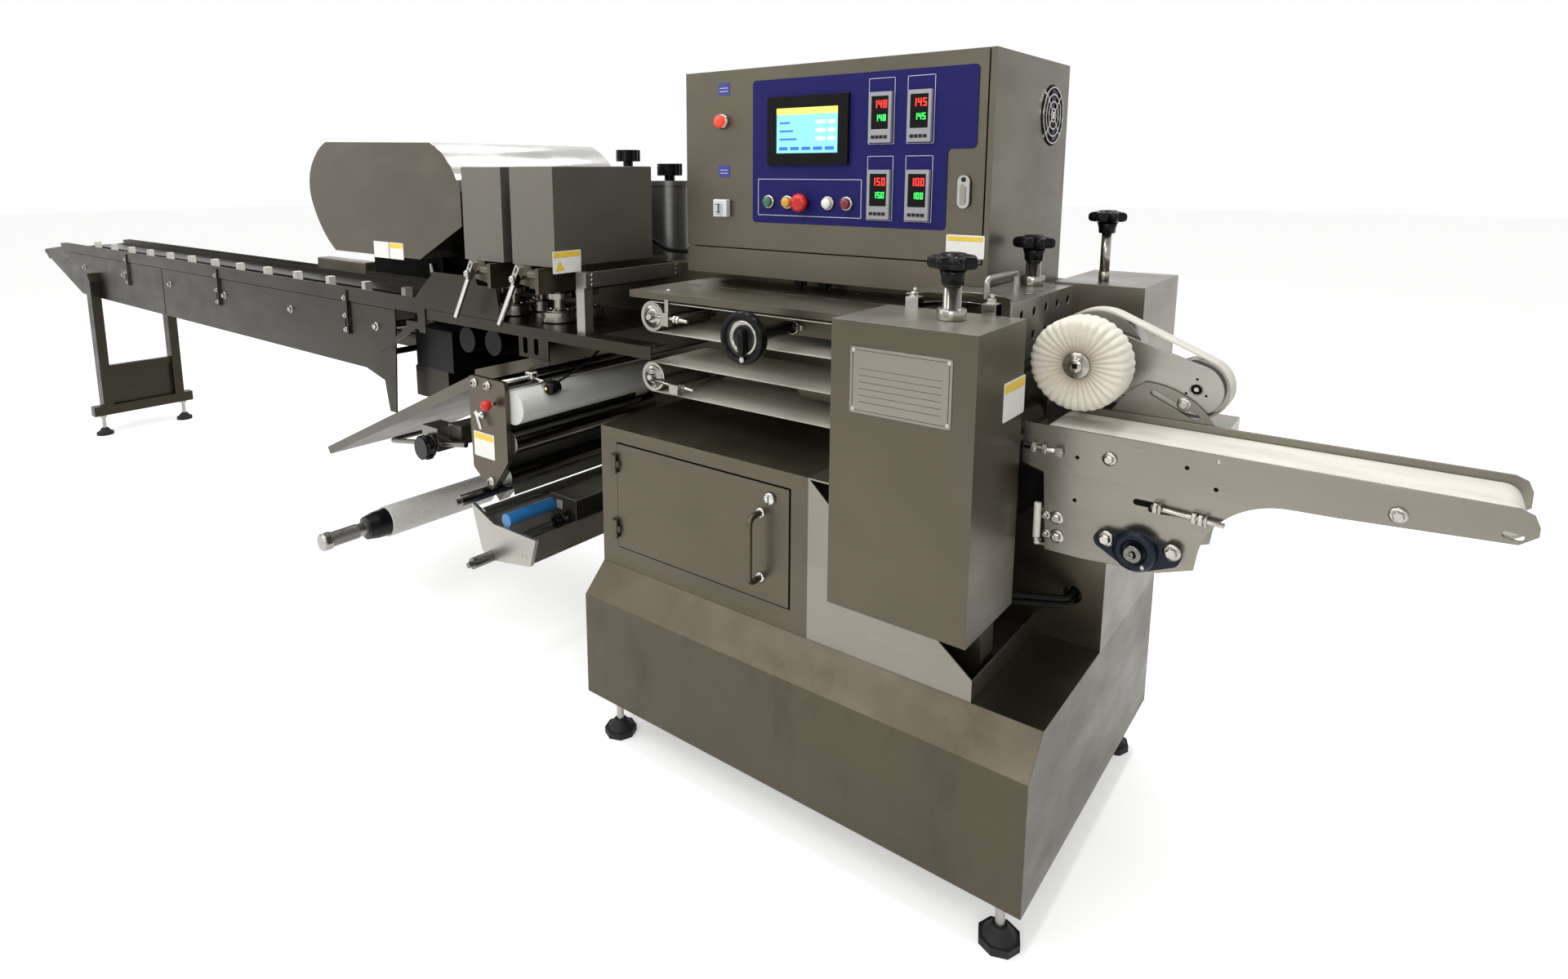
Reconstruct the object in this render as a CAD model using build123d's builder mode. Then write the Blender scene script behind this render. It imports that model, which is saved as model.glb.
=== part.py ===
"""Pillow packing machine: infeed, forming table, fin sealer, end sealer and outfeed.

Millimetres. The product runs along +X, the operator stands at -Y, the floor is z = 0 and
the origin is under the middle of the whole machine.
"""
import math
import os

from build123d import *

# Reach of the whole line from the right face of the base
infeed_reach = 5374
outfeed_reach = 541
shaft_reach = 120

# Base and bodies
base_length = 997
base_depth = 744
base_bottom = 107
base_shoulder = 341
base_top = 401
base_step = 59
column_front_step = 351
column_top = 640
wall_step = 484
rear_top = 1034
line_step = 280
sheet = 3

base_right = (infeed_reach - outfeed_reach) / 2
base_left = base_right - base_length
base_front = (shaft_reach - base_depth) / 2
base_back = base_front + base_depth
column_front = base_front + column_front_step
wall_front = base_front + wall_step
line_y = base_front + line_step

# Clearances
seat_gap = 0.3
pin_play = 0.05
door_gap = 3


def block(x0, x1, y0, y1, z0, z1, mode=Mode.ADD):
    """A box between two corners."""
    with Locations(((x0 + x1) / 2, (y0 + y1) / 2, (z0 + z1) / 2)):
        return Box(x1 - x0, y1 - y0, z1 - z0, mode=mode)


def rod_x(x0, x1, y, z, radius, mode=Mode.ADD):
    """A round bar along the product flow."""
    with Locations(Location(((x0 + x1) / 2, y, z), (0, 90, 0))):
        return Cylinder(radius, x1 - x0, mode=mode)


def rod_y(y0, y1, x, z, radius, mode=Mode.ADD):
    """A round bar across the machine."""
    with Locations(Location((x, (y0 + y1) / 2, z), (90, 0, 0))):
        return Cylinder(radius, y1 - y0, mode=mode)


def rod_z(z0, z1, x, y, radius, mode=Mode.ADD):
    """An upright round bar."""
    with Locations((x, y, (z0 + z1) / 2)):
        return Cylinder(radius, z1 - z0, mode=mode)


def side_plate(points, y0, y1, corner=0, mode=Mode.ADD):
    """A plate cut to an outline in X and Z, standing between two Y planes."""
    with BuildSketch(Plane.XZ.offset(-y1)) as outline:
        with BuildLine():
            Polyline(*points, close=True)
        make_face()
        if corner:
            fillet(outline.vertices(), corner)
    extrude(outline.sketch, amount=y1 - y0, mode=mode)


def cross_section(points, x0, x1, mode=Mode.ADD):
    """A profile in Y and Z, run along X."""
    with BuildSketch(Plane.YZ.offset(x0)) as outline:
        with BuildLine():
            Polyline(*points, close=True)
        make_face()
    extrude(outline.sketch, amount=x1 - x0, mode=mode)


def belt_loop(x0, x1, y0, y1, z, radius, thick):
    """A flat belt round two rollers of one size."""
    with BuildSketch(Plane.XZ.offset(-y1)) as loop:
        with Locations(((x0 + x1) / 2, z)):
            SlotCenterToCenter(x1 - x0, 2 * (radius + thick))
            SlotCenterToCenter(x1 - x0, 2 * radius, mode=Mode.SUBTRACT)
    extrude(loop.sketch, amount=y1 - y0)


def slot_y(x, z, length, width, y0, y1, angle=0):
    """A slotted hole through a plate that faces the operator."""
    with BuildSketch(Plane.XZ.offset(-y1)) as slot:
        with Locations((x, z)):
            SlotOverall(length, width, rotation=angle)
    extrude(slot.sketch, amount=y1 - y0, mode=Mode.SUBTRACT)


def finish(part, name):
    """Name one node and write it."""
    part.part.label = name
    export_step(part.part, f"parts/{name}.step")


os.makedirs("parts", exist_ok=True)

# Base plinth with its sloped front shoulder
with BuildPart() as base_plinth:
    cross_section(
        [
            (base_front, base_bottom),
            (base_back, base_bottom),
            (base_back, base_top),
            (base_front + base_step, base_top),
            (base_front, base_shoulder),
        ],
        base_left,
        base_right,
    )
finish(base_plinth, "base_plinth")

# Levelling feet under the base and under the infeed stand
foot_inset = 50
pad_radius = 36
pad_rim = 14
pad_height = 34
stud_radius = 8
nut_radius = 15
nut_height = 12
stand_x = base_right - 0.853 * infeed_reach
stand_half = 175
stand_foot_bottom = 98


def levelling_foot(x, y, top):
    """Rubber pad, threaded stud and lock nut under one corner."""
    with BuildSketch(Plane.XY) as pad:
        with Locations((x, y)):
            RegularPolygon(pad_radius, 8)
    extrude(pad.sketch, amount=pad_rim)
    with Locations((x, y, pad_rim)):
        Cone(
            pad_radius * 0.8,
            stud_radius * 1.6,
            pad_height - pad_rim,
            align=(Align.CENTER, Align.CENTER, Align.MIN),
        )
    rod_z(pad_height, top, x, y, stud_radius)
    with BuildSketch(Plane.XY.offset(top - nut_height)) as nut:
        with Locations((x, y)):
            RegularPolygon(nut_radius, 6)
    extrude(nut.sketch, amount=nut_height)


with BuildPart() as levelling_feet:
    for foot_x in (base_left + foot_inset, base_right - foot_inset):
        for foot_y in (base_front + foot_inset, base_back - foot_inset):
            levelling_foot(foot_x, foot_y, base_bottom)
    for foot_y in (line_y - stand_half, line_y + stand_half):
        levelling_foot(stand_x, foot_y, stand_foot_bottom)
finish(levelling_feet, "levelling_feet")

# Rear column and the long rear body that carries everything
rear_reach = 1153
rear_bottom = 560
rear_cover_width = 165
rear_cover_left = base_right - rear_cover_width
cable_hole_x = base_right - 55
cable_hole_z = 497
cable_hole_radius = 17
shaft_x = base_left - 970
shaft_z = 235
arm_half = 60
arm_thick = 40
hanger_left = base_left - 443
hanger_right = base_left - 153
hanger_bottom = 310
with BuildPart() as rear_body:
    block(base_left, base_right, column_front, base_back, base_top, column_top)
    block(base_left, rear_cover_left, wall_front, base_back, column_top, rear_top)
    block(base_left - rear_reach, base_left, wall_front, base_back, rear_bottom, rear_top)
    rod_y(
        column_front,
        column_front + 25,
        cable_hole_x,
        cable_hole_z,
        cable_hole_radius,
        mode=Mode.SUBTRACT,
    )
    side_plate(
        [
            (shaft_x - arm_half, rear_bottom),
            (shaft_x - arm_half, shaft_z),
            (shaft_x, shaft_z - arm_half),
            (shaft_x + arm_half, shaft_z),
            (shaft_x + arm_half, rear_bottom),
        ],
        wall_front,
        wall_front + arm_thick,
    )
    block(hanger_left, hanger_right, wall_front, wall_front + 12, hanger_bottom, rear_bottom)
finish(rear_body, "rear_body")

# Cover box over the rear end of the end sealer
rear_cover_top = 1058
with BuildPart() as rear_cover:
    block(rear_cover_left, base_right, wall_front, base_back, column_top, rear_cover_top)
finish(rear_cover, "rear_cover")

# Lower body with its compartment and the fixed halves of the door hinges
body_top = 717
body_front = base_front + base_step
body_cut = base_right - 448
door_left = base_left + 48
door_right = body_cut - 38
door_bottom = 445
door_top = 687
lining = 20
door_thick = 18
door_front = body_front - 2
knuckle_radius = 6
knuckle_half = 7
hinge_pin = 3
hinge_leaf = 12
hinge_heights = (door_bottom + 45, door_top - 48)
hinge_y = door_front - knuckle_radius
with BuildPart() as body_cabinet:
    cross_section(
        [
            (body_front, base_top),
            (column_front, base_top),
            (column_front, column_top),
            (wall_front, column_top),
            (wall_front, body_top),
            (body_front, body_top),
        ],
        base_left,
        body_cut,
    )
    block(
        door_left,
        door_right,
        body_front,
        column_front - lining,
        door_bottom,
        door_top,
        mode=Mode.SUBTRACT,
    )
    for hinge_z in hinge_heights:
        block(
            door_left - hinge_leaf,
            door_left,
            hinge_y,
            body_front,
            hinge_z - 3 * knuckle_half,
            hinge_z + 3 * knuckle_half,
        )
        rod_z(
            hinge_z - 3 * knuckle_half,
            hinge_z + 3 * knuckle_half,
            door_left,
            hinge_y,
            knuckle_radius,
        )
        block(
            door_left - knuckle_radius - 1,
            door_left + knuckle_radius,
            hinge_y - knuckle_radius,
            body_front,
            hinge_z - knuckle_half - seat_gap,
            hinge_z + knuckle_half + seat_gap,
            mode=Mode.SUBTRACT,
        )
        rod_z(
            hinge_z - 2 * knuckle_half,
            hinge_z + 2 * knuckle_half,
            door_left,
            hinge_y,
            hinge_pin,
        )
finish(body_cabinet, "body_cabinet")

# Body door with its pull handle and lock
handle_x = door_right - 69
handle_bottom = door_bottom + 47
handle_top = door_top - 63
handle_reach = 36
handle_radius = 6
handle_bend = 16
lock_x = door_right - 46
lock_z = door_top - 29
with BuildPart() as body_door:
    block(
        door_left + door_gap,
        door_right - door_gap,
        door_front,
        door_front + door_thick,
        door_bottom + door_gap,
        door_top - door_gap,
    )
    rod_y(door_front - 5, door_front, lock_x, lock_z, 9)
    for hinge_z in hinge_heights:
        rod_z(hinge_z - knuckle_half, hinge_z + knuckle_half, door_left, hinge_y, knuckle_radius)
        block(
            door_left,
            door_left + hinge_leaf,
            hinge_y,
            door_front,
            hinge_z - knuckle_half,
            hinge_z + knuckle_half,
        )
        rod_z(
            hinge_z - knuckle_half,
            hinge_z + knuckle_half,
            door_left,
            hinge_y,
            hinge_pin + pin_play,
            mode=Mode.SUBTRACT,
        )
    with BuildLine() as pull_path:
        FilletPolyline(
            (handle_x, door_front, handle_bottom),
            (handle_x, door_front - handle_reach, handle_bottom),
            (handle_x, door_front - handle_reach, handle_top),
            (handle_x, door_front, handle_top),
            radius=handle_bend,
        )
    with BuildSketch(Plane(origin=(handle_x, door_front, handle_bottom), z_dir=(0, -1, 0))):
        Circle(handle_radius)
    sweep(path=pull_path.line)
finish(body_door, "body_door")

# Front housing of the end sealer, on a leg that stands in the tray
housing_left = base_right - 354
housing_right = base_right - 102
housing_front = base_front - 20
housing_back = base_front + 170
housing_bottom = 538
housing_top = 1033
housing_leg_front = base_front + 120
with BuildPart() as front_housing:
    block(housing_left, housing_right, housing_front, housing_back, housing_bottom, housing_top)
    block(
        housing_left + 40,
        housing_right - 30,
        housing_leg_front,
        housing_back,
        base_top + sheet,
        housing_bottom,
    )
finish(front_housing, "front_housing")

# Tray under the end sealer; its front plate is cut away round the housing
tray_right = base_right - 121
tray_lip = 439
cut_gap = 3
with BuildPart() as sealer_tray:
    side_plate(
        [
            (body_cut, base_top),
            (tray_right, base_top),
            (tray_right, tray_lip),
            (tray_right - 63, tray_lip + 51),
            (housing_left + 109, housing_bottom - cut_gap),
            (housing_left - cut_gap, housing_bottom - cut_gap),
            (housing_left - cut_gap, body_top - 81),
            (body_cut + 44, body_top - 40),
            (body_cut, body_top),
        ],
        body_front,
        body_front + sheet,
    )
    block(body_cut, tray_right, body_front, column_front, base_top, base_top + sheet)
    block(tray_right - sheet, tray_right, body_front, column_front, base_top, tray_lip)
    block(body_cut, body_cut + 44, body_front, column_front, body_top - sheet, body_top)
finish(sealer_tray, "sealer_tray")

# End sealing jaws between the two housings
jaw_x = base_right - 196
jaw_heights = (790, 905)
jaw_radius = 34
jaw_shaft = 16
jaw_bar = 12
with BuildPart() as end_jaws:
    for jaw_z in jaw_heights:
        rod_y(housing_back, wall_front, jaw_x, jaw_z, jaw_shaft)
        rod_y(housing_back + 20, wall_front - 20, jaw_x, jaw_z, jaw_radius)
        block(
            jaw_x - jaw_radius - jaw_bar,
            jaw_x + jaw_radius + jaw_bar,
            housing_back + 24,
            wall_front - 24,
            jaw_z - jaw_bar / 2,
            jaw_z + jaw_bar / 2,
        )
finish(end_jaws, "end_jaws")

# Ring clamp behind the front housing
clamp_x = base_right - 230
clamp_y = base_front + 176
clamp_radius = 70
clamp_half = 7
lug_length = 24
lug_height = 20
with BuildPart() as jaw_clamp:
    with BuildSketch(Plane.XY.offset(housing_top)):
        with Locations((clamp_x, clamp_y)):
            Circle(clamp_radius + clamp_half)
            Circle(clamp_radius - clamp_half, mode=Mode.SUBTRACT)
        with Locations((clamp_x, clamp_y - clamp_radius)):
            Rectangle(
                4 * clamp_radius,
                2 * clamp_radius,
                mode=Mode.SUBTRACT,
            )
    extrude(amount=clamp_half)
    for side in (-1, 1):
        block(
            clamp_x + side * clamp_radius - lug_length / 2,
            clamp_x + side * clamp_radius + lug_length / 2,
            clamp_y - 22,
            clamp_y + 2,
            housing_top,
            housing_top + lug_height,
        )
finish(jaw_clamp, "jaw_clamp")

# Electrical cabinet: closed plinth, shell, lock strip and the door's pivot pin
cabinet_left = base_left + 7
cabinet_right = base_right - 244
cabinet_front = base_front + 346
cabinet_sill = 1094
cabinet_top = 1491
cabinet_wall = 20
cabinet_door_thick = 20
cabinet_strip = 14
seal_gap = 3
shell_front = cabinet_front + cabinet_door_thick + seal_gap
pivot_inset = 7
pivot_radius = 4
pivot_length = 14
with BuildPart() as electrical_cabinet:
    block(cabinet_left, cabinet_right, cabinet_front, base_back, rear_top, cabinet_sill)
    block(cabinet_left, cabinet_right, shell_front, base_back, cabinet_sill, cabinet_top)
    block(
        cabinet_left + cabinet_wall,
        cabinet_right - cabinet_wall,
        shell_front,
        base_back - cabinet_wall,
        cabinet_sill + cabinet_wall,
        cabinet_top - cabinet_wall,
        mode=Mode.SUBTRACT,
    )
    block(
        cabinet_right - cabinet_strip + door_gap,
        cabinet_right,
        cabinet_front,
        shell_front,
        cabinet_sill,
        cabinet_top,
    )
    rod_z(
        cabinet_sill,
        cabinet_sill + pivot_length,
        cabinet_left + pivot_inset,
        cabinet_front + pivot_inset,
        pivot_radius,
    )
finish(electrical_cabinet, "electrical_cabinet")

with BuildPart() as cabinet_door:
    block(
        cabinet_left,
        cabinet_right - cabinet_strip,
        cabinet_front,
        cabinet_front + cabinet_door_thick,
        cabinet_sill + door_gap,
        cabinet_top,
    )
    rod_z(
        cabinet_sill,
        cabinet_sill + pivot_length + 1,
        cabinet_left + pivot_inset,
        cabinet_front + pivot_inset,
        pivot_radius + pin_play,
        mode=Mode.SUBTRACT,
    )
finish(cabinet_door, "cabinet_door")

# Stepped operating panel on the door
panel_left = cabinet_left + 196
panel_right = cabinet_right - 31
door_height = cabinet_top - cabinet_sill
panel_top = cabinet_top - 0.0705 * door_height
panel_bottom = cabinet_sill + 0.1587 * door_height
panel_step_x = panel_right - 57
panel_step_z = panel_top - 0.383 * door_height
panel_thick = 2
panel_face = cabinet_front - panel_thick
with BuildPart() as control_panel:
    side_plate(
        [
            (panel_left, panel_bottom),
            (panel_step_x, panel_bottom),
            (panel_step_x, panel_step_z),
            (panel_right, panel_step_z),
            (panel_right, panel_top),
            (panel_left, panel_top),
        ],
        panel_face,
        cabinet_front,
        corner=9,
    )
finish(control_panel, "control_panel")

# Touch screen with its raised frame
screen_left = panel_left + 45
screen_top = panel_top - 0.0957 * door_height
screen_width = 202
screen_height = 0.3577 * door_height
screen_border = 24
device_rise = 8
with BuildPart() as touch_screen:
    block(
        screen_left,
        screen_left + screen_width,
        panel_face - device_rise,
        panel_face,
        screen_top - screen_height,
        screen_top,
    )
    block(
        screen_left + screen_border,
        screen_left + screen_width - screen_border,
        panel_face - device_rise,
        panel_face - device_rise + 2,
        screen_top - screen_height + screen_border,
        screen_top - screen_border,
        mode=Mode.SUBTRACT,
    )
finish(touch_screen, "touch_screen")

# Four temperature controllers of the 48 by 96 size
controller_width = 50
controller_height = 0.2469 * door_height
controller_left = panel_right - 225
controller_pitch_x = 85
controller_pitch_z = 0.3804 * door_height
controller_top = panel_top - 0.1008 * door_height
with BuildPart() as temperature_controllers:
    for column in range(2):
        for row in range(2):
            left = controller_left + column * controller_pitch_x
            top = controller_top - row * controller_pitch_z
            block(
                left,
                left + controller_width,
                panel_face - device_rise,
                panel_face,
                top - controller_height,
                top,
            )
            block(
                left + 6,
                left + controller_width - 6,
                panel_face - device_rise,
                panel_face - device_rise + 2,
                top - controller_height + 26,
                top - 8,
                mode=Mode.SUBTRACT,
            )
finish(temperature_controllers, "temperature_controllers")

# Push buttons, emergency mushroom, signal lamp, main switch and swing latch
button_z = panel_bottom + 0.1159 * door_height
button_x = panel_left + 42
button_offsets = (0, 50, 153, 198)
mushroom_offset = 92
button_radius = 13
lamp_x = cabinet_left + 111
lamp_z = cabinet_top - 0.2796 * door_height
switch_z = cabinet_sill + 0.2317 * door_height
latch_x = panel_right - 20
latch_z = panel_step_z - 0.204 * door_height
with BuildPart() as push_buttons:
    for offset in button_offsets:
        rod_y(panel_face - 5, panel_face, button_x + offset, button_z, button_radius)
        rod_y(panel_face - 11, panel_face - 5, button_x + offset, button_z, button_radius - 3)
    rod_y(panel_face - 18, panel_face, button_x + mushroom_offset, button_z, 12)
    with Locations(Location((button_x + mushroom_offset, panel_face - 18, button_z), (90, 0, 0))):
        Cone(19, 15, 12, align=(Align.CENTER, Align.CENTER, Align.MIN))
    rod_y(cabinet_front - 10, cabinet_front, lamp_x, lamp_z, button_radius)
    with Locations(Location((lamp_x, cabinet_front - 10, lamp_z), (90, 0, 0))):
        Cone(11, 6, 10, align=(Align.CENTER, Align.CENTER, Align.MIN))
    block(lamp_x - 19, lamp_x + 19, cabinet_front - 14, cabinet_front, switch_z - 19, switch_z + 19)
    block(lamp_x - 6, lamp_x + 8, cabinet_front - 22, cabinet_front - 14, switch_z - 9, switch_z + 9)
    with BuildSketch(Plane.XZ.offset(-cabinet_front)):
        with Locations((latch_x, latch_z)):
            SlotOverall(78, 26, rotation=90)
    extrude(amount=4)
    with BuildSketch(Plane.XZ.offset(4 - cabinet_front)):
        with Locations((latch_x, latch_z - 4)):
            SlotOverall(58, 14, rotation=90)
    extrude(amount=7)
finish(push_buttons, "push_buttons")

# Wire guard of the cabinet fan
fan_y = base_front + 646
fan_z = cabinet_top - 0.272 * door_height
fan_radius = 58
wire = 2.5
with BuildPart() as fan_guard:
    with BuildSketch(Plane.YZ.offset(cabinet_right)) as guard_rings:
        with Locations((fan_y, fan_z)):
            for ring in range(4):
                ring_radius = fan_radius * (4 - ring) / 4
                Circle(ring_radius, mode=Mode.ADD)
                Circle(ring_radius - wire, mode=Mode.SUBTRACT)
            Circle(fan_radius / 8)
            with PolarLocations(fan_radius / 2, 4, start_angle=45):
                Rectangle(fan_radius, wire)
    extrude(amount=4)
finish(fan_guard, "fan_guard")

# Perforated guard over the jaws, with its lifting handle
guard_left = base_right - 330
guard_right = base_right - 128
guard_front = clamp_y + 14
guard_rear_left = cabinet_right + 6
guard_top = 1054
guard_drop = 105
guard_sheet = 2
guard_mouth = 92
hole_radius = 8.5
hole_pitch = 59
hole_start = base_front + 217.5
hole_rows = (24.5, 66)
grip_x = guard_right - 60
grip_front = base_front + 210
grip_back = base_front + 345
grip_height = 34
grip_radius = 5
with BuildPart() as jaw_guard:
    with BuildSketch(Plane.XY.offset(guard_top - guard_sheet)):
        with BuildLine():
            Polyline(
                (guard_left, guard_front),
                (guard_right, guard_front),
                (guard_right, wall_front),
                (guard_rear_left, wall_front),
                (guard_rear_left, cabinet_front - 6),
                (guard_left, cabinet_front - 6),
                close=True,
            )
        make_face()
        with Locations((clamp_x, clamp_y)):
            Circle(guard_mouth, mode=Mode.SUBTRACT)
        with Locations((guard_right - 24, hole_start + 2.5 * hole_pitch)):
            with GridLocations(1, hole_pitch, 1, 3):
                Circle(hole_radius, mode=Mode.SUBTRACT)
    extrude(amount=guard_sheet)
    with BuildSketch(Plane.YZ.offset(guard_right - guard_sheet)):
        with BuildLine():
            Polyline(
                (housing_back, guard_top),
                (wall_front, guard_top),
                (wall_front, guard_top - guard_drop),
                (housing_back, guard_top - guard_drop),
                close=True,
            )
        make_face()
        with Locations((hole_start + 2 * hole_pitch, guard_top - hole_rows[0])):
            with GridLocations(hole_pitch, 1, 5, 1):
                Circle(hole_radius, mode=Mode.SUBTRACT)
        with Locations((hole_start + 2.5 * hole_pitch, guard_top - hole_rows[1])):
            with GridLocations(hole_pitch, 1, 4, 1):
                Circle(hole_radius, mode=Mode.SUBTRACT)
    extrude(amount=guard_sheet)
    with BuildLine() as grip_path:
        FilletPolyline(
            (grip_x, grip_front, guard_top - 1),
            (grip_x, grip_front, guard_top + grip_height),
            (grip_x, grip_back, guard_top + grip_height),
            (grip_x, grip_back, guard_top - 1),
            radius=10,
        )
    with BuildSketch(Plane(origin=(grip_x, grip_front, guard_top - 1), z_dir=(0, 0, 1))):
        Circle(grip_radius)
    sweep(path=grip_path.line)
finish(jaw_guard, "jaw_guard")

# Star knobs
knob_radius = 42
knob_lobes = 7
knob_height = 22


def star_knob(x, y, seat_z, stem_height, collar_radius, stem_radius, size):
    """Turning half of a clamping screw: collar, stem, neck and lobed hand knob."""
    collar_height = 18
    neck_height = 26 * size
    head_z = seat_z + stem_height + neck_height
    head_radius = knob_radius * size
    rod_z(seat_z, seat_z + collar_height, x, y, collar_radius)
    rod_z(seat_z + collar_height, seat_z + stem_height, x, y, stem_radius)
    with Locations((x, y, seat_z + stem_height)):
        Cone(
            18 * size,
            22 * size,
            neck_height,
            align=(Align.CENTER, Align.CENTER, Align.MIN),
        )
    with BuildSketch(Plane.XY.offset(head_z)) as head:
        with Locations((x, y)):
            Circle(head_radius * 0.78)
            with PolarLocations(head_radius * 0.74, knob_lobes):
                Circle(head_radius * 0.26)
    extrude(head.sketch, amount=knob_height * size)
    rod_z(head_z + knob_height * size, head_z + knob_height * size + 3, x, y, head_radius * 0.5)


knob_front_y = base_front + 90
with BuildPart() as jaw_knob_front:
    star_knob(jaw_x, knob_front_y, housing_top + seat_gap, 56, 24, 15, 1)
finish(jaw_knob_front, "jaw_knob_front")

knob_rear_y = base_front + 440
with BuildPart() as jaw_knob_rear:
    star_knob(jaw_x + 4, knob_rear_y, guard_top + seat_gap, 46, 22, 14, 0.95)
finish(jaw_knob_rear, "jaw_knob_rear")

with BuildPart() as height_knob:
    star_knob(base_right - 95, base_front + 560, rear_cover_top + seat_gap, 92, 10, 9, 0.85)
finish(height_knob, "height_knob")

# Belt pair that carries the film tube to the end sealer
belt_front = base_front + 185
belt_back = belt_front + 190
belt_left = base_left + 42
belt_right = housing_left - 46
belt_roller = 33
belt_thick = 2
upper_axis = 947
lower_axis = 809
with BuildPart() as carrier_belts:
    for axis_z in (upper_axis, lower_axis):
        belt_loop(belt_left, belt_right, belt_front, belt_back, axis_z, belt_roller, belt_thick)
finish(carrier_belts, "carrier_belts")

roller_end = 10
with BuildPart() as belt_rollers:
    for axis_z in (upper_axis, lower_axis):
        for roller_x in (belt_left, belt_right):
            rod_y(belt_front, belt_back, roller_x, axis_z, belt_roller - seat_gap)
            rod_y(belt_back, wall_front, roller_x, axis_z, 9)
            rod_y(belt_front - roller_end, belt_front, roller_x, axis_z, 7)
finish(belt_rollers, "belt_rollers")

frame_left = belt_left + 327
frame_height = 32
frame_core = 14
upper_frame_front = belt_front + 55
lower_frame_front = belt_front + 110
frame_places = ((upper_axis + 8, upper_frame_front), (lower_axis, lower_frame_front))
with BuildPart() as belt_frames:
    for frame_z, frame_front in frame_places:
        with BuildSketch(Plane.XZ.offset(-frame_front)):
            with Locations(((frame_left + belt_right - 50) / 2, frame_z)):
                SlotOverall(belt_right - 50 - frame_left, frame_height)
        extrude(amount=8)
        block(
            frame_left + frame_height / 2,
            belt_right - 60,
            frame_front,
            wall_front,
            frame_z - frame_core / 2,
            frame_z + frame_core / 2,
        )
finish(belt_frames, "belt_frames")

# Cover plate above the upper belt, bent down at the front
cover_left = base_left - 25
cover_right = housing_left + 20
cover_top = 1003
cover_lip = 16
cover_slots = 6
with BuildPart() as belt_cover_plate:
    with BuildSketch(Plane.XY.offset(cover_top - sheet)) as cover_outline:
        with Locations(((cover_left + cover_right) / 2, (belt_front - 5 + wall_front) / 2)):
            Rectangle(cover_right - cover_left, wall_front - belt_front + 5)
        with Locations(((cover_left + cover_right) / 2 - 40, belt_front + 150)):
            with GridLocations((cover_right - cover_left) / (cover_slots + 1), 1, cover_slots, 1):
                SlotOverall(56, 7, mode=Mode.SUBTRACT)
    extrude(amount=sheet)
    block(
        cover_left,
        cover_right,
        belt_front - 5,
        belt_front - 5 + sheet,
        cover_top - cover_lip,
        cover_top - sheet,
    )
finish(belt_cover_plate, "belt_cover_plate")

# Handwheel that sets the height of the upper belt
wheel_x = frame_left + frame_height / 2
wheel_z = frame_places[0][0]
wheel_front = base_front + 66
stem_step = upper_frame_front - 13
wheel_radius = 52
wheel_thick = 24
crank_angle = -62
with BuildPart() as handwheel:
    rod_y(wheel_front, wheel_front + wheel_thick, wheel_x, wheel_z, wheel_radius)
    rod_y(wheel_front, wheel_front + 9, wheel_x, wheel_z, wheel_radius - 12, mode=Mode.SUBTRACT)
    rod_y(wheel_front - 6, wheel_front + 9, wheel_x, wheel_z, 19)
    rod_y(wheel_front + wheel_thick, stem_step, wheel_x, wheel_z, 15)
    rod_y(stem_step, stem_step + 5 - seat_gap, wheel_x, wheel_z, 10)
    rod_y(
        wheel_front - 12,
        wheel_front,
        wheel_x + (wheel_radius - 9) * math.cos(math.radians(crank_angle)),
        wheel_z + (wheel_radius - 9) * math.sin(math.radians(crank_angle)),
        7,
    )
finish(handwheel, "handwheel")

# Work table with a film slot, a ramp down to the lower belt and a forming plate
table_front = base_front + 130
table_left = base_left - 798
table_right = base_left + 87
table_top = 890
table_lip = 28
ramp_left = base_left - 113
ramp_right = belt_left - belt_roller - belt_thick - 4
ramp_low = lower_axis + belt_roller + belt_thick + 3
table_strip = belt_front - 8
hanger_y = base_front + 200
with BuildPart() as work_table:
    with BuildSketch(Plane.XY.offset(table_top - sheet)):
        with BuildLine():
            Polyline(
                (table_left, table_front),
                (table_right, table_front),
                (table_right, table_strip),
                (ramp_left, table_strip),
                (ramp_left, wall_front),
                (table_left, wall_front),
                close=True,
            )
        make_face()
        with Locations(((table_left + 240 + ramp_left - 10) / 2, line_y)):
            SlotOverall(ramp_left - 10 - table_left - 240, 5, mode=Mode.SUBTRACT)
    extrude(amount=sheet)
    block(
        table_left,
        table_right,
        table_front,
        table_front + sheet,
        table_top - table_lip,
        table_top - sheet,
    )
    side_plate(
        [
            (ramp_left, table_top - sheet),
            (ramp_left, table_top),
            (ramp_right, ramp_low + sheet),
            (ramp_right, ramp_low),
        ],
        table_strip,
        wall_front,
    )
    block(
        base_left - 461,
        base_left - 342,
        hanger_y,
        hanger_y + 4,
        788,
        table_top - sheet,
    )
    for hanger_slot_x in (base_left - 434, base_left - 390):
        slot_y(hanger_slot_x, 822, 48, 18, hanger_y, hanger_y + 4, angle=90)
finish(work_table, "work_table")

# Forming plate beside the film
carrier_bottom = 985
with BuildPart() as forming_plate:
    side_plate(
        [
            (table_left - 12, table_top - 68),
            (table_left - 22, table_top + 32),
            (table_left + 12, table_top + 60),
            (table_left + 76, table_top + 109),
            (table_left + 230, table_top + 109),
            (table_left + 262, table_top + 106),
            (table_left + 272, carrier_bottom - 7),
            (table_left + 348, carrier_bottom - 7),
            (table_left + 362, table_top + 2),
            (table_left + 20, table_top + 2),
            (table_left + 20, table_top - 68),
        ],
        table_front - sheet,
        table_front,
    )
    side_plate(
        [
            (table_left - 232, 734),
            (table_left + 12, 849),
            (table_left - 72, 835),
        ],
        table_front - sheet,
        table_front,
    )
    block(table_left - 76, table_left + 12, table_front - sheet, table_front, 830, 849)
finish(forming_plate, "forming_plate")

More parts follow.
